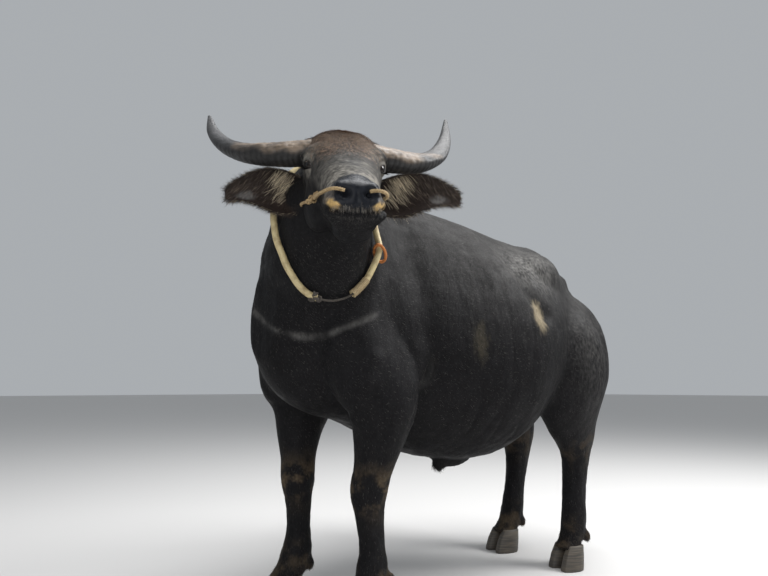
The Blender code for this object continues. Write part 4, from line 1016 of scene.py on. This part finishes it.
@functools.lru_cache(maxsize=1)
def ear_grid():
    """Every place on the hollow of both ears: a search tree, shares out and up, and facing."""
    spots, shares, facing = [], [], []
    for side in (1, -1):
        fronts, backs = ear_rows(side)
        for i, (front_row, back_row) in enumerate(zip(fronts, backs)):
            for k, (spot, behind) in enumerate(zip(front_row, back_row)):
                spots.append(spot)
                shares.append((i / EAR_ROWS, k / EAR_COLUMNS))
                facing.append((spot - behind).normalized())
    tree = kdtree.KDTree(len(spots))
    for number, spot in enumerate(spots):
        tree.insert(spot, number)
    tree.balance()
    return tree, np.array(shares), np.array(facing)


def ear_chart(points, normals):
    """How much each place belongs to an ear and to its hollow, and its shares out and up."""
    tree, shares, facing = ear_grid()
    local = head_local(points)
    chosen = np.flatnonzero((np.abs(local[:, 0]) > 0.08) & (np.abs(local[:, 1]) < 0.20)
                            & (local[:, 2] > -0.32) & (local[:, 2] < -0.02))
    found = {name: np.zeros(len(points)) for name in ("ear", "hollow", "out", "up")}
    if len(chosen):
        hits = [tree.find(spot)[1:] for spot in points[chosen].tolist()]
        index = np.array([hit[0] for hit in hits])
        away = np.array([hit[1] for hit in hits])
        found["out"][chosen], found["up"][chosen] = shares[index].T
        found["ear"][chosen] = step_down(away, 0.011, 0.018) * step_up(shares[index, 0], 0.06, 0.14)
        faced = (normals[chosen] * facing[index]).sum(axis=1)
        found["hollow"][chosen] = found["ear"][chosen] * step_up(faced, -0.05, 0.35)
    return found


def give_floats(mesh, name, values):
    mesh.attributes.new(name, "FLOAT", "POINT").data.foreach_set("value", np.asarray(values, float))


def give_colours(mesh, name, colours):
    layer = mesh.color_attributes.new(name, "FLOAT_COLOR", "POINT")
    rows = np.concatenate([colours, np.ones((len(colours), 1))], axis=1)
    layer.data.foreach_set("color", rows.ravel())


class Look:
    """A material built node by node, with short names for the usual nodes."""

    def __init__(self, name, roughness=0.5, **fixed):
        self.material = bpy.data.materials.new(name)
        self.material.use_nodes = True
        self.tree = self.material.node_tree
        self.shader = self.tree.nodes["Principled BSDF"]
        self.shader.inputs["Roughness"].default_value = roughness
        for key, value in fixed.items():
            self.shader.inputs[key.replace("_", " ")].default_value = value

    def node(self, kind, inputs=(), **settings):
        """A node with these settings and inputs; its outputs are given back."""
        made = self.tree.nodes.new(kind)
        for key, value in settings.items():
            setattr(made, key, value)
        for key, value in inputs:
            self.put(made.inputs[key], value)
        return made.outputs

    def put(self, socket, value):
        if hasattr(value, "links"):
            self.tree.links.new(value, socket)
        elif isinstance(value, tuple) and len(value) == 3 and socket.type == "RGBA":
            socket.default_value = (*value, 1.0)
        else:
            socket.default_value = value

    def stored(self, name, kind="Color"):
        return self.node("ShaderNodeAttribute", attribute_name=name)[kind]

    def place(self, stretch):
        where = self.node("ShaderNodeTexCoord")["Object"]
        return self.node("ShaderNodeMapping", [("Scale", stretch), ("Vector", where)])["Vector"]

    def noise(self, scale, stretch=(1, 1, 1), detail=4.0):
        return self.node("ShaderNodeTexNoise", [("Scale", scale), ("Detail", detail),
                                                ("Vector", self.place(stretch))])["Fac"]

    def cells(self, scale, stretch):
        return self.node("ShaderNodeTexVoronoi", [("Scale", scale), ("Vector", self.place(stretch))],
                         feature="DISTANCE_TO_EDGE")["Distance"]

    def sum(self, kind, a, b):
        return self.node("ShaderNodeMath", [(0, a), (1, b)], operation=kind)[0]

    def span(self, value, low, high, new_low=0.0, new_high=1.0):
        return self.node("ShaderNodeMapRange", [
            ("From Min", low), ("From Max", high), ("To Min", new_low), ("To Max", new_high),
            ("Value", value)])["Result"]

    def mix(self, share, a, b, how="MIX"):
        return self.node("ShaderNodeMix", [("Factor", share), (6, a), (7, b)],
                         data_type="RGBA", blend_type=how)[2]

    def bump(self, height, strength, distance, under=None):
        inputs = [("Strength", strength), ("Distance", distance), ("Height", height)]
        if under is not None:
            inputs.append(("Normal", under))
        return self.node("ShaderNodeBump", inputs)["Normal"]

    def finish(self, colour=None, rough=None, normal=None):
        for key, value in (("Base Color", colour), ("Roughness", rough), ("Normal", normal)):
            if value is not None:
                self.put(self.shader.inputs[key], value)
        return self.material


def hide_look():
    look = Look("hide", 0.5, IOR=1.40, Specular_IOR_Level=0.11)
    tone = look.span(look.noise(150, (1, 1, 0.5)), 0.3, 0.7, 0.72, 1.25)
    dry = look.span(look.noise(28, (1, 1, 0.6)), 0.3, 0.7, 0.50, 0.70)
    tint = look.mix(1.0, look.stored("tint"), tone, "MULTIPLY")
    rough = look.sum("SUBTRACT", dry, look.sum("MULTIPLY", look.stored("wet", "Fac"), 0.34))
    normal = look.bump(look.noise(520, (1, 1, 0.16), 2.0), 0.45, 0.0014)
    normal = look.bump(look.noise(55, (1, 1, 0.30), 6.0), 0.40, 0.0050, normal)
    normal = look.bump(look.cells(210, (1, 1, 0.5)), 0.25, 0.0010, normal)
    return look.finish(tint, rough, normal)


def plain_look(name, roughness, **fixed):
    look = Look(name, roughness, **fixed)
    return look.finish(look.stored("tint"))


def horn_look():
    look = Look("horn", 0.5, Specular_IOR_Level=0.35)
    streak = look.span(look.noise(60, (0.5, 0.5, 2.5)), 0.3, 0.7, 0.65, 1.3)
    tint = look.mix(1.0, look.stored("tint"), streak, "MULTIPLY")
    grain = look.noise(170)
    normal = look.bump(look.noise(45), 0.45, 0.004, look.bump(grain, 0.5, 0.002))
    return look.finish(tint, look.span(grain, 0.3, 0.7, 0.38, 0.62), normal)


def hoof_look():
    look = Look("hoof", 0.5)
    rings = look.noise(90, (0.15, 0.15, 2.2))
    tint = look.mix(look.span(rings, 0.35, 0.65), HOOF_DARK, HOOF_PALE)
    rough = look.span(rings, 0.3, 0.7, 0.40, 0.62)
    return look.finish(tint, rough, look.bump(rings, 0.5, 0.003))


def hose_look():
    look = Look("hose", 0.42)
    grime = look.noise(40)
    tint = look.mix(look.span(grime, 0.50, 0.72), HOSE_CREAM, HOSE_STAIN)
    fine = look.noise(260)
    tint = look.mix(look.span(fine, 0.60, 0.75, 0.0, 0.6), tint, HOSE_SPECK)
    return look.finish(tint, look.span(grime, 0.3, 0.7, 0.36, 0.6), look.bump(fine, 0.25, 0.001))


def rope_look(name, pale, dark):
    look = Look(name, 0.85)
    fine = look.noise(420)
    tint = look.mix(look.span(fine, 0.35, 0.65), dark, pale)
    return look.finish(tint, None, look.bump(fine, 0.6, 0.0012))


def eye_ball(side, look):
    """A wet eye: dark iris, wide flat pupil and a slight bulge of the cornea."""
    gaze, along, up = eye_axes(side)
    bm = bmesh.new()
    bmesh.ops.create_icosphere(bm, subdivisions=5, radius=1.0)
    mesh = mesh_of("eye", bm)
    points, _ = points_of(mesh)
    a, b, g = points.T
    bulge = 1 + 0.05 * np.exp(-((a * a + b * b) / 0.30))
    bulge[g < 0] = 1
    colours = np.tile(np.array(EYE_WHITE), (len(points), 1))
    colours[(np.sqrt(a * a + b * b) < 0.58) & (g > 0)] = EYE_IRIS
    colours[((a / 0.34) ** 2 + (b / 0.17) ** 2 < 1) & (g > 0)] = EYE_PUPIL
    points = (points * bulge[:, None] * (EYE_RADIUS - 0.0004)) @ np.array([along, up, gaze])
    set_points(mesh, points + np.array(eye_centre(side)))
    give_colours(mesh, "tint", colours)
    return dressed(closed("eye", mesh), look)


def dressed(thing, look):
    thing.data.materials.clear()
    thing.data.materials.append(look)
    thing.data.shade_smooth()
    return thing


def fine_horn(side, look):
    """A horn with close ridges under its wavy keel, a rough top near the head and a smooth tip."""
    lift, longer = HORN_LIFT[side < 0], HORN_LONGER[side < 0]
    rows = smooth_rows([(*at, wide, deep) for at, wide, deep in HORN], 30)
    rings, tints = [], []
    rng = np.random.default_rng(31 + side)
    last = len(rows) - 1
    wobble = np.convolve(rng.normal(0, 1, last + 9), np.ones(9) / 9, "valid")
    for i, row in enumerate(rows):
        share = i / last
        row[:3] += np.array((longer * share, 0.0, lift * share ** 3))

    def lumps(scale, across, shift):
        return noise.noise((row[0] * scale, c * across, s * across + side * shift))
    for i, row in enumerate(rows):
        share = i / last
        along = Vector(rows[min(i + 1, last)][:3] - rows[max(i - 1, 0)][:3]).normalized()
        up = (Vector((0, 0, 1)) - along * along.z).normalized()
        fore = along.cross(up)
        fade = min(max((0.80 - share) / 0.25, 0.0), 1.0)
        phase = i * 0.95 + 2.2 * wobble[i]
        sway = 0.30 * fade * noise.noise((row[0] * 26, side * 4.0, 0.5))
        ring = []
        for k, (c, s) in enumerate(circle(FINE_HORN_SIDES)):
            angle = 2 * math.pi * k / FINE_HORN_SIDES
            under = min(max(0.5 + 3.5 * math.sin(0.22 + sway - angle), 0.0), 1.0)
            groove = abs(math.sin(phase / 2 + 0.5 * s))
            ridge = 0.040 * fade * (groove - 0.6) * under
            rough = 0.050 * fade * (1 - under) * lumps(75, 5, 9)
            grow = horn_swell(angle - sway) * (1 + ridge + rough + 0.020 * fade * lumps(30, 1.5, 5))
            at = Vector(row[:3]) - fore * row[3] * c * grow + up * row[4] * s * grow
            ring.append(head_point(side * at.x, at.y, at.z))
            stain = lumps(24, 1.2, 1)
            tan = (1 - under) ** 1.5 * min(max(1.9 - 3.4 * share + 1.0 * stain, 0), 1)
            grey = min(max((share - 0.45 + 0.15 * stain) / 0.30, 0.0), 1.0) * (1 - 0.4 * under)
            tone = np.array(HORN_DARK) * (1 - grey) + np.array(HORN_GREY) * grey
            tone = tone * (1 - tan) + np.array(HORN_TAN) * tan
            # Painted shade in the recessed grooves between the ridges underneath; the dark flecks in the
            # tan are the horn's own
            dark = 0.60 * fade * under * (1 - groove) + 0.9 * tan * max(0.0, lumps(95, 6, 3))
            tints.append(tone * (1 - dark) * (1 + 0.25 * stain))
        rings.append(ring)
    thing = loft("horn", rings)
    give_colours(thing.data, "tint", np.array(tints))
    return dressed(thing, look)


def fine_hoofs(look):
    made = []
    for pair, rows, stagger in LEGS:
        for side in (1, -1):
            for name, thing in hoofs(pair, side, *foot_at(rows, side, stagger)):
                curve = thing.modifiers.new("bevel", "BEVEL")
                curve.width, curve.segments, curve.limit_method = 0.0035, 2, "ANGLE"
                curve.angle_limit = math.radians(50)
                applied(thing)
                made.append((name, dressed(thing, look)))
    return made


def frames_of(route):
    """Each place of a route with its direction, a way up and how far along it lies."""
    route = [Vector(point) for point in route]
    up, travel, found = Vector((0.3, 0.2, 1)).normalized(), 0.0, []
    for i, centre in enumerate(route):
        along = (route[min(i + 1, len(route) - 1)] - route[max(i - 1, 0)]).normalized()
        up = (up - along * up.dot(along)).normalized()
        travel += (centre - route[i - 1]).length if i else 0.0
        found.append((centre, along, up, travel))
    return found


def twisted(name, route, radius, turns_per_m, look):
    """A laid rope: three round strands wound about a route."""
    made, frames = [], frames_of(route)
    for strand in range(3):
        rings = []
        for centre, along, up, travel in frames:
            side = along.cross(up)
            angle = 2 * math.pi * (strand / 3 + travel * turns_per_m)
            off = (side * math.cos(angle) + up * math.sin(angle)) * radius * 0.50
            rings.append(ring_of(centre + off, side, up, radius, 8, 0.56))
        made.append(loft(name, rings))
    return dressed(joined(name, made), look)


def knot(name, at, size, look, seed):
    """A tight knot: one cord wound over and under itself."""
    rng = np.random.default_rng(seed)
    turn = Matrix.Rotation(rng.uniform(0, 6.28), 3, Vector(rng.normal(0, 1, 3)).normalized())
    route = []
    for k in range(49):
        t = 2 * math.pi * k / 48
        place = Vector((math.sin(t) + 2 * math.sin(2 * t), math.cos(t) - 2 * math.cos(2 * t),
                        -math.sin(3 * t)))
        route.append(Vector(at) + turn @ place * size / 3.2)
    return twisted(name, route, size * 0.34, 1 / size, look)


def resampled(route, spacing):
    """The route as even steps on a smooth curve through its points."""
    rows = [Vector(row) for row in smooth_rows([tuple(point) for point in route], 8)]
    found, left = [rows[0]], 0.0
    for a, b in zip(rows, rows[1:]):
        length = (b - a).length
        while left + length >= spacing:
            a = a + (b - a) * ((spacing - left) / length)
            found.append(a)
            length, left = (b - a).length, 0.0
        left += length
    return found


def hose(name, route, look):
    """A soft tube with open, slightly flared ends."""
    frames = frames_of(route)
    last = len(frames) - 1
    ends = (0.55, 0.62, 0.94, 1.0)
    order = [(0, share) for share in ends] + [(i, 1.0) for i in range(1, last)]
    order += [(last, share) for share in reversed(ends)]
    rings = []
    for i, share in order:
        centre, along, up, _ = frames[i]
        depth = 0.012 if share == ends[0] else 0.0
        inwards = along * (depth if i == 0 else -depth)
        rings.append(ring_of(centre + inwards, along.cross(up), up, COLLAR_RADIUS, 20, share))
    return dressed(loft(name, rings), look)


def chart(points, normals):
    """Places on an unwrap of the skin's own shape: one chart for each way it faces."""
    share = np.clip((points - np.array([-0.6, -0.65, -0.05])) / np.array([1.6, 2.1, 1.8]), 0, 1)
    axis = np.abs(normals).argmax(axis=1)
    count = np.arange(len(points))
    other = np.array([[1, 2], [0, 2], [0, 1]])[axis]
    a, b = (share[count, other[:, k]] for k in (0, 1))
    row = (normals[count, axis] < 0) * 2 + (points[:, 0] < 0.12)
    return np.stack([(axis + 0.02 + 0.96 * a) / 3, (row + 0.02 + 0.96 * b) / 4], 1)


def scattered(mesh, weights, count, rng):
    """Random places on the mesh by the weight of each of its points, with their normals."""
    mesh.calc_loop_triangles()
    tris = np.empty(len(mesh.loop_triangles) * 3, np.int32)
    mesh.loop_triangles.foreach_get("vertices", tris)
    tris = tris.reshape(-1, 3)
    points, normals = points_of(mesh)
    a, b, c = (points[tris[:, k]] for k in range(3))
    area = norms(np.cross(b - a, c - a)) * weights[tris].mean(axis=1)
    chosen = tris[rng.choice(len(tris), count, p=area / area.sum())]
    share = rng.dirichlet((1, 1, 1), count)
    spots = (points[chosen] * share[:, :, None]).sum(axis=1)
    ways = (normals[chosen] * share[:, :, None]).sum(axis=1)
    return spots, ways / norms(ways)[:, None]


def unit(rows):
    return rows / np.maximum(norms(rows), 1e-9)[:, None]


def strands(name, roots, normals, ways, bends, lengths, widths, steps, tints, look):
    """Thin tapered blades from their roots, each bowed by its bend, as one mesh."""
    count = len(roots)
    sides = unit(np.cross(ways, normals + 0.37 * np.roll(normals, 1, axis=0)))
    points, per = [], 2 * steps + 1
    for k in range(steps + 1):
        t = k / steps
        centre = roots + ways * (lengths * t)[:, None] + bends * (lengths * t * t)[:, None]
        half = sides * (widths * (1 - t) ** 0.7)[:, None] / 2
        points += [centre - half, centre + half] if k < steps else [centre]
    points = np.stack(points, 1)
    faces = []
    for k in range(steps - 1):
        faces += [(2 * k, 2 * k + 1, 2 * k + 3), (2 * k, 2 * k + 3, 2 * k + 2)]
    faces.append((2 * steps - 2, 2 * steps - 1, 2 * steps))
    index = (np.arange(count)[:, None, None] * per + np.array(faces)[None]).reshape(-1, 3)
    mesh = bpy.data.meshes.new(name)
    mesh.vertices.add(count * per)
    mesh.vertices.foreach_set("co", points.reshape(-1))
    mesh.loops.add(index.size)
    mesh.loops.foreach_set("vertex_index", index.ravel().astype(np.int32))
    mesh.polygons.add(len(index))
    mesh.polygons.foreach_set("loop_start", np.arange(len(index), dtype=np.int32) * 3)
    mesh.update(calc_edges=True)
    # Painted shade: each blade darker towards its root, where the coat shades it, and painted light
    # towards its tip
    shade = np.linspace(0.75, 1.2, steps + 1)
    shade = np.append(np.repeat(shade[:-1], 2), shade[-1])
    give_colours(mesh, "tint", (tints[:, None] * shade[None, :, None]).reshape(-1, 3))
    across = np.append(np.tile([-1.0, 1.0], steps), 0.0) * COAT_PATCH / 2
    up = np.append(np.repeat(np.arange(steps) / steps, 2), 1.0) * COAT_PATCH
    places = chart(roots, normals)[:, None] + np.stack([across, up], 1)[None]
    layer = mesh.uv_layers.new(name="OFBake")
    layer.data.foreach_set("uv", places.reshape(-1, 2)[index.ravel()].ravel())
    thing = dressed(new_object(name, mesh), look)
    return thing


def tail_switch(look):
    """Long coarse hair hanging from the end of the tail."""
    rng = np.random.default_rng(11)
    roots, ways, bends, lengths = [], [], [], []
    (high_y, high_z), (low_y, low_z) = SWITCH
    for _ in range(SWITCH_HAIRS):
        share = rng.uniform() ** 1.2
        z = high_z - share * 0.20
        turn = rng.uniform(0, 2 * math.pi)
        out = np.array((math.cos(turn), math.sin(turn), 0.0))
        wide = 0.011 + 0.004 * share
        y = high_y + (low_y - high_y) * share
        roots.append(np.array(bent((TAIL_ASIDE, y, z))) + out * wide * rng.uniform(0.2, 1.0))
        spread = 0.16 * (1 - share) + 0.05
        ways.append(out * rng.uniform(0.0, spread) + np.array((0, 0, -1)) + rng.normal(0, 0.05, 3))
        bends.append(-out * rng.uniform(0.02, 0.14) + rng.normal(0, 0.05, 3))
        lengths.append(min(rng.uniform(0.10, 0.21), z - low_z + rng.uniform(0.0, 0.03)))
    roots, ways, bends = np.array(roots), unit(np.array(ways)), np.array(bends)
    tints = np.array(HAIR_DARK)[None] * rng.uniform(0.6, 1.8, (len(roots), 1))
    widths = rng.uniform(0.0014, 0.0032, len(roots))
    return strands("switch_hair", roots, unit(roots * 0 + rng.normal(0, 1, roots.shape)), ways,
                   bends, np.array(lengths), widths, 6, tints, look)


def lie_of(points, normals):
    """The way the coat lies at each place: down the face, back along the body, down the legs."""
    head = on_head(head_local(points))[:, None]
    body = np.tile((0.10, 1.0, -0.55), (len(points), 1))
    low = step_down(points[:, 2], 0.50, 0.62)[:, None]
    body = body * (1 - low) + np.array((0.0, 0.12, -1.0)) * low
    face = np.array(NOSE_AXIS) * 0.9 - np.array(BROW_AXIS) * 0.2
    return unit(along_skin(body * (1 - head) + face * head, normals))


def lie_forward(spots, normals):
    """Poll hair: forward, and parted to both sides."""
    side = np.clip(head_local(spots)[:, 0] / 0.03, -1, 1)[:, None]
    way = np.array(NOSE_AXIS) * 0.8 + side * np.array(LEFT_AXIS) * 0.7
    return unit(along_skin(way, normals))


def lie_drooping(spots, normals):
    return unit(normals * 0.5 - np.array((0.0, 0.0, 1.0)))


def ear_side(spots):
    return np.array(LEFT_AXIS) * np.sign(head_local(spots)[:, 0])[:, None]


def lie_in_ear(spots, normals):
    return unit(ear_side(spots) * 0.62 - np.array(BROW_AXIS) * 0.75 + np.array(NOSE_AXIS) * 0.15)


def lie_along_ear(spots, normals):
    return unit(along_skin(ear_side(spots), normals))


def coat_piece(name, skin, weights, lie, look, rng, count, length, width, rise, tone=None,
               steps=2, spread=0.5):
    """Tufts over part of the skin: they follow its lie, lift by the rise and carry its markings."""
    spots, normals = scattered(skin.data, weights, count, rng)
    ways = unit(lie(spots, normals) + normals * rise + rng.normal(0, 0.14, spots.shape))
    tints, _ = markings(spots, normals)
    if tone is not None:
        share = rng.uniform(0.1, 1.0, (count, 1)) ** spread
        tints = tints * (1 - share) + np.array(tone) * share
    clumps = (1 + 0.5 * waves(spots, 95.0, shift=4.0))[:, None]
    tints = tints * rng.uniform(0.5, 1.9, (count, 1)) * clumps
    lengths = length * rng.uniform(0.55, 1.25, count)
    bends = -normals * rise * 0.6 + rng.normal(0, 0.06, spots.shape)
    widths = width * rng.uniform(0.6, 1.3, count)
    return strands(name, spots - normals * 0.0008, normals, ways, bends, lengths, widths, steps,
                   tints, look)


def coats(skin, look):
    """Every coat piece, from the sparse body hair to the long hair of ears and poll."""
    rng = np.random.default_rng(7)
    points, normals = points_of(skin.data)
    x, _, z = points.T
    local = head_local(points)
    left, along, out = np.abs(local[:, 0]), local[:, 1], local[:, 2]
    head = on_head(local)
    _, pad = markings(points, normals)
    ears = ear_chart(points, normals)
    body = (1 - head) * step_up(z, 0.085, 0.10) * (0.35 + 0.65 * step_up(z, 0.5, 1.2))
    face = head * (1 - np.maximum(pad, ears["ear"])) * (1 - patch_eyes(points))
    crest = bell(x / 0.09) * step_up(z, 1.22, 1.36) * (1 - head)
    poll = crown(left, along, out) * (step_up(along, -0.09, -0.03) * step_down(along, 0.11, 0.27))
    front = step_up(along, 0.42, 0.46) * head
    upper = front * bell((out - MOUTH_HEIGHT - 0.007) / 0.006) * step_down(left, 0.048, 0.056)
    chin = front * step_down(out, -0.120, -0.112) * step_up(out, -0.18, -0.14)
    lips = front * step_up(left, 0.030, 0.040) * step_down(out, -0.088, -0.078)
    lips *= step_up(out, -0.112, -0.107)
    deep = bell((ears["out"] - 0.31) / 0.085) * step_up(ears["up"], 0.20, 0.45)
    inner = ears["hollow"] * step_up(ears["out"], 0.30, 0.45) * (1 - 0.8 * patch_pale(ears))
    sheath = patch(points, bent((0, 0.47, 0.41)), (0.03, 0.035, 0.03))
    feet = bell((z - 0.115) / 0.03) * (1 - head)
    rows = [(f"body_{k}", body, lie_of, *BODY_COAT) for k in range(BODY_COATS)]
    rows += [
        ("face", face, lie_of, 42000, 0.0065, 0.0008, 0.20),
        ("crest", crest, lie_of, 5000, 0.020, 0.0009, 0.45, HAIR_GREY, 3),
        ("poll", poll, lie_forward, 22000, 0.016, 0.0010, 0.30, POLL_HAIR, 3),
        ("whiskers", upper, lie_drooping, 300, 0.014, 0.0005, 0.12, BRISTLE, 4),
        ("chin", chin, lie_of, 1500, 0.009, 0.0005, 0.4, HAIR_GREY, 3),
        ("lips", lips, lie_of, 2600, 0.005, 0.0006, 0.3),
        ("ear_cream", ears["hollow"] * deep, lie_in_ear, 430, 0.055, 0.0010, 0.30, EAR_CREAM, 5),
        ("ear_inner", inner, lie_in_ear, 5200, 0.016, 0.0008, 0.30, HAIR_BROWN, 3),
        ("ear_wisps", inner, lie_in_ear, 420, 0.030, 0.0008, 0.45, EAR_WISP, 4),
        ("ear_outer", ears["ear"] * (1 - ears["hollow"]), lie_along_ear,
         12000, 0.012, 0.0008, 0.25, HAIR_BROWN, 3),
        ("sheath", sheath, lie_of, 350, 0.028, 0.0010, 0.5, HAIR_DARK, 4),
        ("feet", feet, lie_of, 8000, 0.016, 0.0010, 0.30, HAIR_BROWN, 3),
    ]
    return [coat_piece("coat_" + name, skin, weights, lie, look, rng, *sizes)
            for name, weights, lie, *sizes in rows]


def patch_eyes(points):
    """The bare opening between the lids, from 1 to 0."""
    away = [norms(points - np.array(eye_centre(side))) for side in (1, -1)]
    return step_up(-np.minimum(*away), -EYE_RADIUS - 0.008, -EYE_RADIUS - 0.004)


def patch_pale(ears):
    """The bare pale skin near the lower edge of each ear."""
    return bell((ears["out"] - 0.77) / 0.11, (ears["up"] - 0.26) / 0.20)


def rim_hairs(look):
    """A fringe along the rim of both ears, pale here and there."""
    rng = np.random.default_rng(23)
    roots, ways, normals = [], [], []
    for side in (1, -1):
        front, _ = ear_rows(side)
        a, b, c = EAR_FRONT
        front_way = np.array(LEFT_AXIS * side * a + NOSE_AXIS * b + BROW_AXIS * c)
        for edge in (0, -1):
            line = np.array([row[edge] for row in front])
            inner = np.array([row[len(row) // 2] for row in front])
            spots = rng.uniform(0.12, 0.995, RIM_HAIRS) * (len(line) - 1)
            low = spots.astype(int)
            share = (spots - low)[:, None]
            at = line[low] * (1 - share) + line[low + 1] * share
            out = unit(line - inner)[low]
            along = unit(np.gradient(line, axis=0))[low]
            roots.append(at)
            ways.append(out * 0.55 + along * 0.8 + front_way * rng.normal(0.1, 0.3, (len(at), 1)))
            normals.append(np.tile(front_way, (len(at), 1)))
    roots, ways, normals = (np.concatenate(part) for part in (roots, ways, normals))
    count = len(roots)
    tints = np.array(HAIR_BROWN)[None] * rng.uniform(0.6, 1.8, (count, 1))
    tints[rng.uniform(size=count) < 0.12] = np.array(EAR_CREAM) * 0.5
    bends = rng.normal(0, 0.12, roots.shape) - np.array((0, 0, 0.1))
    return strands("ear_fringe", roots, normals, unit(ways + rng.normal(0, 0.2, ways.shape)),
                   bends, rng.uniform(0.008, 0.024, count), rng.uniform(0.0006, 0.0012, count), 3,
                   tints, look)


def lashes(look):
    """Upper lashes over each eye."""
    rng = np.random.default_rng(5)
    roots, ways = [], []
    for side in (1, -1):
        gaze, along, up = eye_axes(side)
        for _ in range(90):
            a = rng.uniform(-0.62, 0.62)
            b = EYE_OPEN * (1 - (a / EYE_WIDE) ** 2) + 0.03
            g = math.sqrt(max(0.0, 1 - a * a - b * b))
            heading = along * a + up * b + gaze * g
            roots.append(eye_centre(side) + heading * (EYE_RADIUS + 0.002))
            ways.append(gaze * 0.8 + up * 0.35 - Vector((0, 0, 0.35)) + along * a * 0.4)
    roots, ways = np.array(roots), unit(np.array(ways))
    count = len(roots)
    return strands("lashes", roots, ways, ways, np.tile((0, 0, 0.25), (count, 1)),
                   rng.uniform(0.010, 0.020, count), np.full(count, 0.0006), 3,
                   np.tile(np.array(HAIR_DARK), (count, 1)), look)


def wear(skin_tree, looks):
    """Collar, its wrap, tie and ring, and the nose rope: pieces with the CAD nodes they replace."""
    loop = [Vector(point) for point in collar_route(skin_tree)]
    half, first = COLLAR_STEPS // 2, COLLAR_GAP
    made = [(hose("hose_left", loop[first:half + 1], looks["hose"]), "hose", ("collar_left",)),
            (hose("hose_right", loop[half:COLLAR_STEPS - first + 1], looks["hose"]), "hose",
             ("collar_right",))]

    def knots(name, at, lumps, kind, seed):
        for number, (*off, size) in enumerate(lumps):
            lump = knot(name, at + Vector(off), size, looks[kind], number + seed)
            made.append((lump, kind, ()))
    route = resampled([loop[first + 2 - k] for k in range(2 * first + 5)], ROPE_STEP)
    made.append((twisted("tie_cord", route, CORD_RADIUS * 0.75, TIE_TWIST, looks["cord"]), "cord",
                 ("collar_tie",)))
    knots("tie_knot", loop[-first], TIE_KNOTS, "cord", 0)
    wrap = []
    for k in range(first, first + WRAP_STEPS):
        along = (loop[k + 1] - loop[k]).normalized()
        for turn in range(3):
            at = loop[k].lerp(loop[k + 1], turn / 3)
            wrap.append(round_tube(at, along, COLLAR_RADIUS + WRAP_LIFT, WRAP_WIRE))
    made.append((dressed(joined("hose_wrap", wrap), looks["tape"]), "hose", ()))
    ring = dressed(collar_ring(loop, skin_tree), looks["ring"])
    made.append((ring, "ring", ("collar_ring",)))
    for side, label in SIDES:
        route = rope_route(skin_tree, side)
        rope = twisted(f"rope_{label}", resampled(route, ROPE_STEP), ROPE_RADIUS, ROPE_TWIST,
                       looks["rope"])
        made.append((rope, "rope", (f"nose_rope_{label}",)))
    knots("rope_knot", route[ROPE_KNOT_STEP], ROPE_KNOT, "rope", 4)
    return made


def round_tube(at, axis, radius, wire):
    """A thin ring round an axis, as one turn of a wrapping."""
    side = axis.orthogonal().normalized()
    return closed_tube("turn", ring_of(at, side, axis.cross(side), radius, 24), wire, axis, 6)


def aim(thing, way):
    thing.rotation_euler = way.to_track_quat("-Z", "Y").to_euler()


def soft_light(name, at, target, size, power):
    lamp = bpy.data.lights.new(name, "AREA")
    lamp.shape, lamp.size, lamp.energy = "DISK", size, power
    thing = new_object(name, lamp)
    thing.location = at
    aim(thing, Vector(target) - Vector(at))


def studio():
    """Pale floor and backdrop colour, soft lights and the camera of the photo."""
    bm = bmesh.new()
    bmesh.ops.create_grid(bm, x_segments=1, y_segments=1, size=60.0)
    floor = new_object("floor", mesh_of("floor", bm))
    floor.data.materials.append(Look("floor", 0.9).finish(FLOOR_TONE))
    world = bpy.data.worlds.new("studio")
    bpy.context.scene.world = world
    world.use_nodes = True
    back = world.node_tree.nodes["Background"].inputs
    back["Color"].default_value = BACKDROP
    back["Strength"].default_value = 0.50
    for row in LIGHTS:
        soft_light(*row)
    lens = bpy.data.cameras.new("camera")
    lens.sensor_width, lens.lens = 36.0, CAMERA_LENS
    camera = new_object("camera", lens)
    camera.location = Vector(CAMERA_AT) - FLOOR_CENTRE
    heading, pitch = math.radians(CAMERA_HEADING), math.radians(CAMERA_PITCH)
    aim(camera, Vector((-math.sin(heading) * math.cos(pitch), math.cos(heading) * math.cos(pitch),
                        math.sin(pitch))))
    bpy.context.scene.camera = camera
    bpy.context.scene.view_settings.view_transform = "Standard"


def placed(thing, slot=None, nodes=()):
    """Moves a finished piece over the origin, lets it ride and hides the CAD nodes it stands for; the slot
    it is given is not used.
    """
    thing.data.transform(Matrix.Translation(-FLOOR_CENTRE))
    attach(thing, "root")
    if nodes:
        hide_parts(*nodes)


def main():
    looks = {"hide": hide_look(), "horn": horn_look(), "hoof": hoof_look(), "hose": hose_look(),
             "hair": plain_look("coat", 0.55, IOR=1.45, Specular_IOR_Level=0.25),
             "eye": plain_look("eye", 0.13, IOR=1.38)}
    for name, pale, dark in ROPE_TONES:
        looks[name] = rope_look(name, pale, dark)
    skin = skin_mesh()
    points, normals = points_of(skin.data)
    colours, wet = markings(points, normals)
    give_colours(skin.data, "tint", colours)
    give_floats(skin.data, "wet", wet)
    dressed(skin, looks["hide"])
    tree = surface_of(skin)
    hair = coats(skin, looks["hair"])
    hair += [rim_hairs(looks["hair"]), lashes(looks["hair"])]
    switch = tail_switch(looks["hair"])
    for side, label in SIDES:
        placed(fine_horn(side, looks["horn"]), "horn", (f"horn_{label}",))
        placed(eye_ball(side, looks["eye"]), "eye", (f"eye_{label}",))
    for name, thing in fine_hoofs(looks["hoof"]):
        placed(thing, "hoof", (name,))
    for thing, slot, nodes in wear(tree, looks):
        placed(thing, slot, nodes)
    for thing in hair:
        placed(thing)
    placed(switch, "hair", ("tail_switch",))
    placed(skin, "hide", FLESH_NODES)
    studio()


for thing in list(bpy.data.objects):
    if thing.type in ("CAMERA", "LIGHT") or thing.name == "Cube":
        bpy.data.objects.remove(thing, do_unlink=True)
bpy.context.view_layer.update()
main()
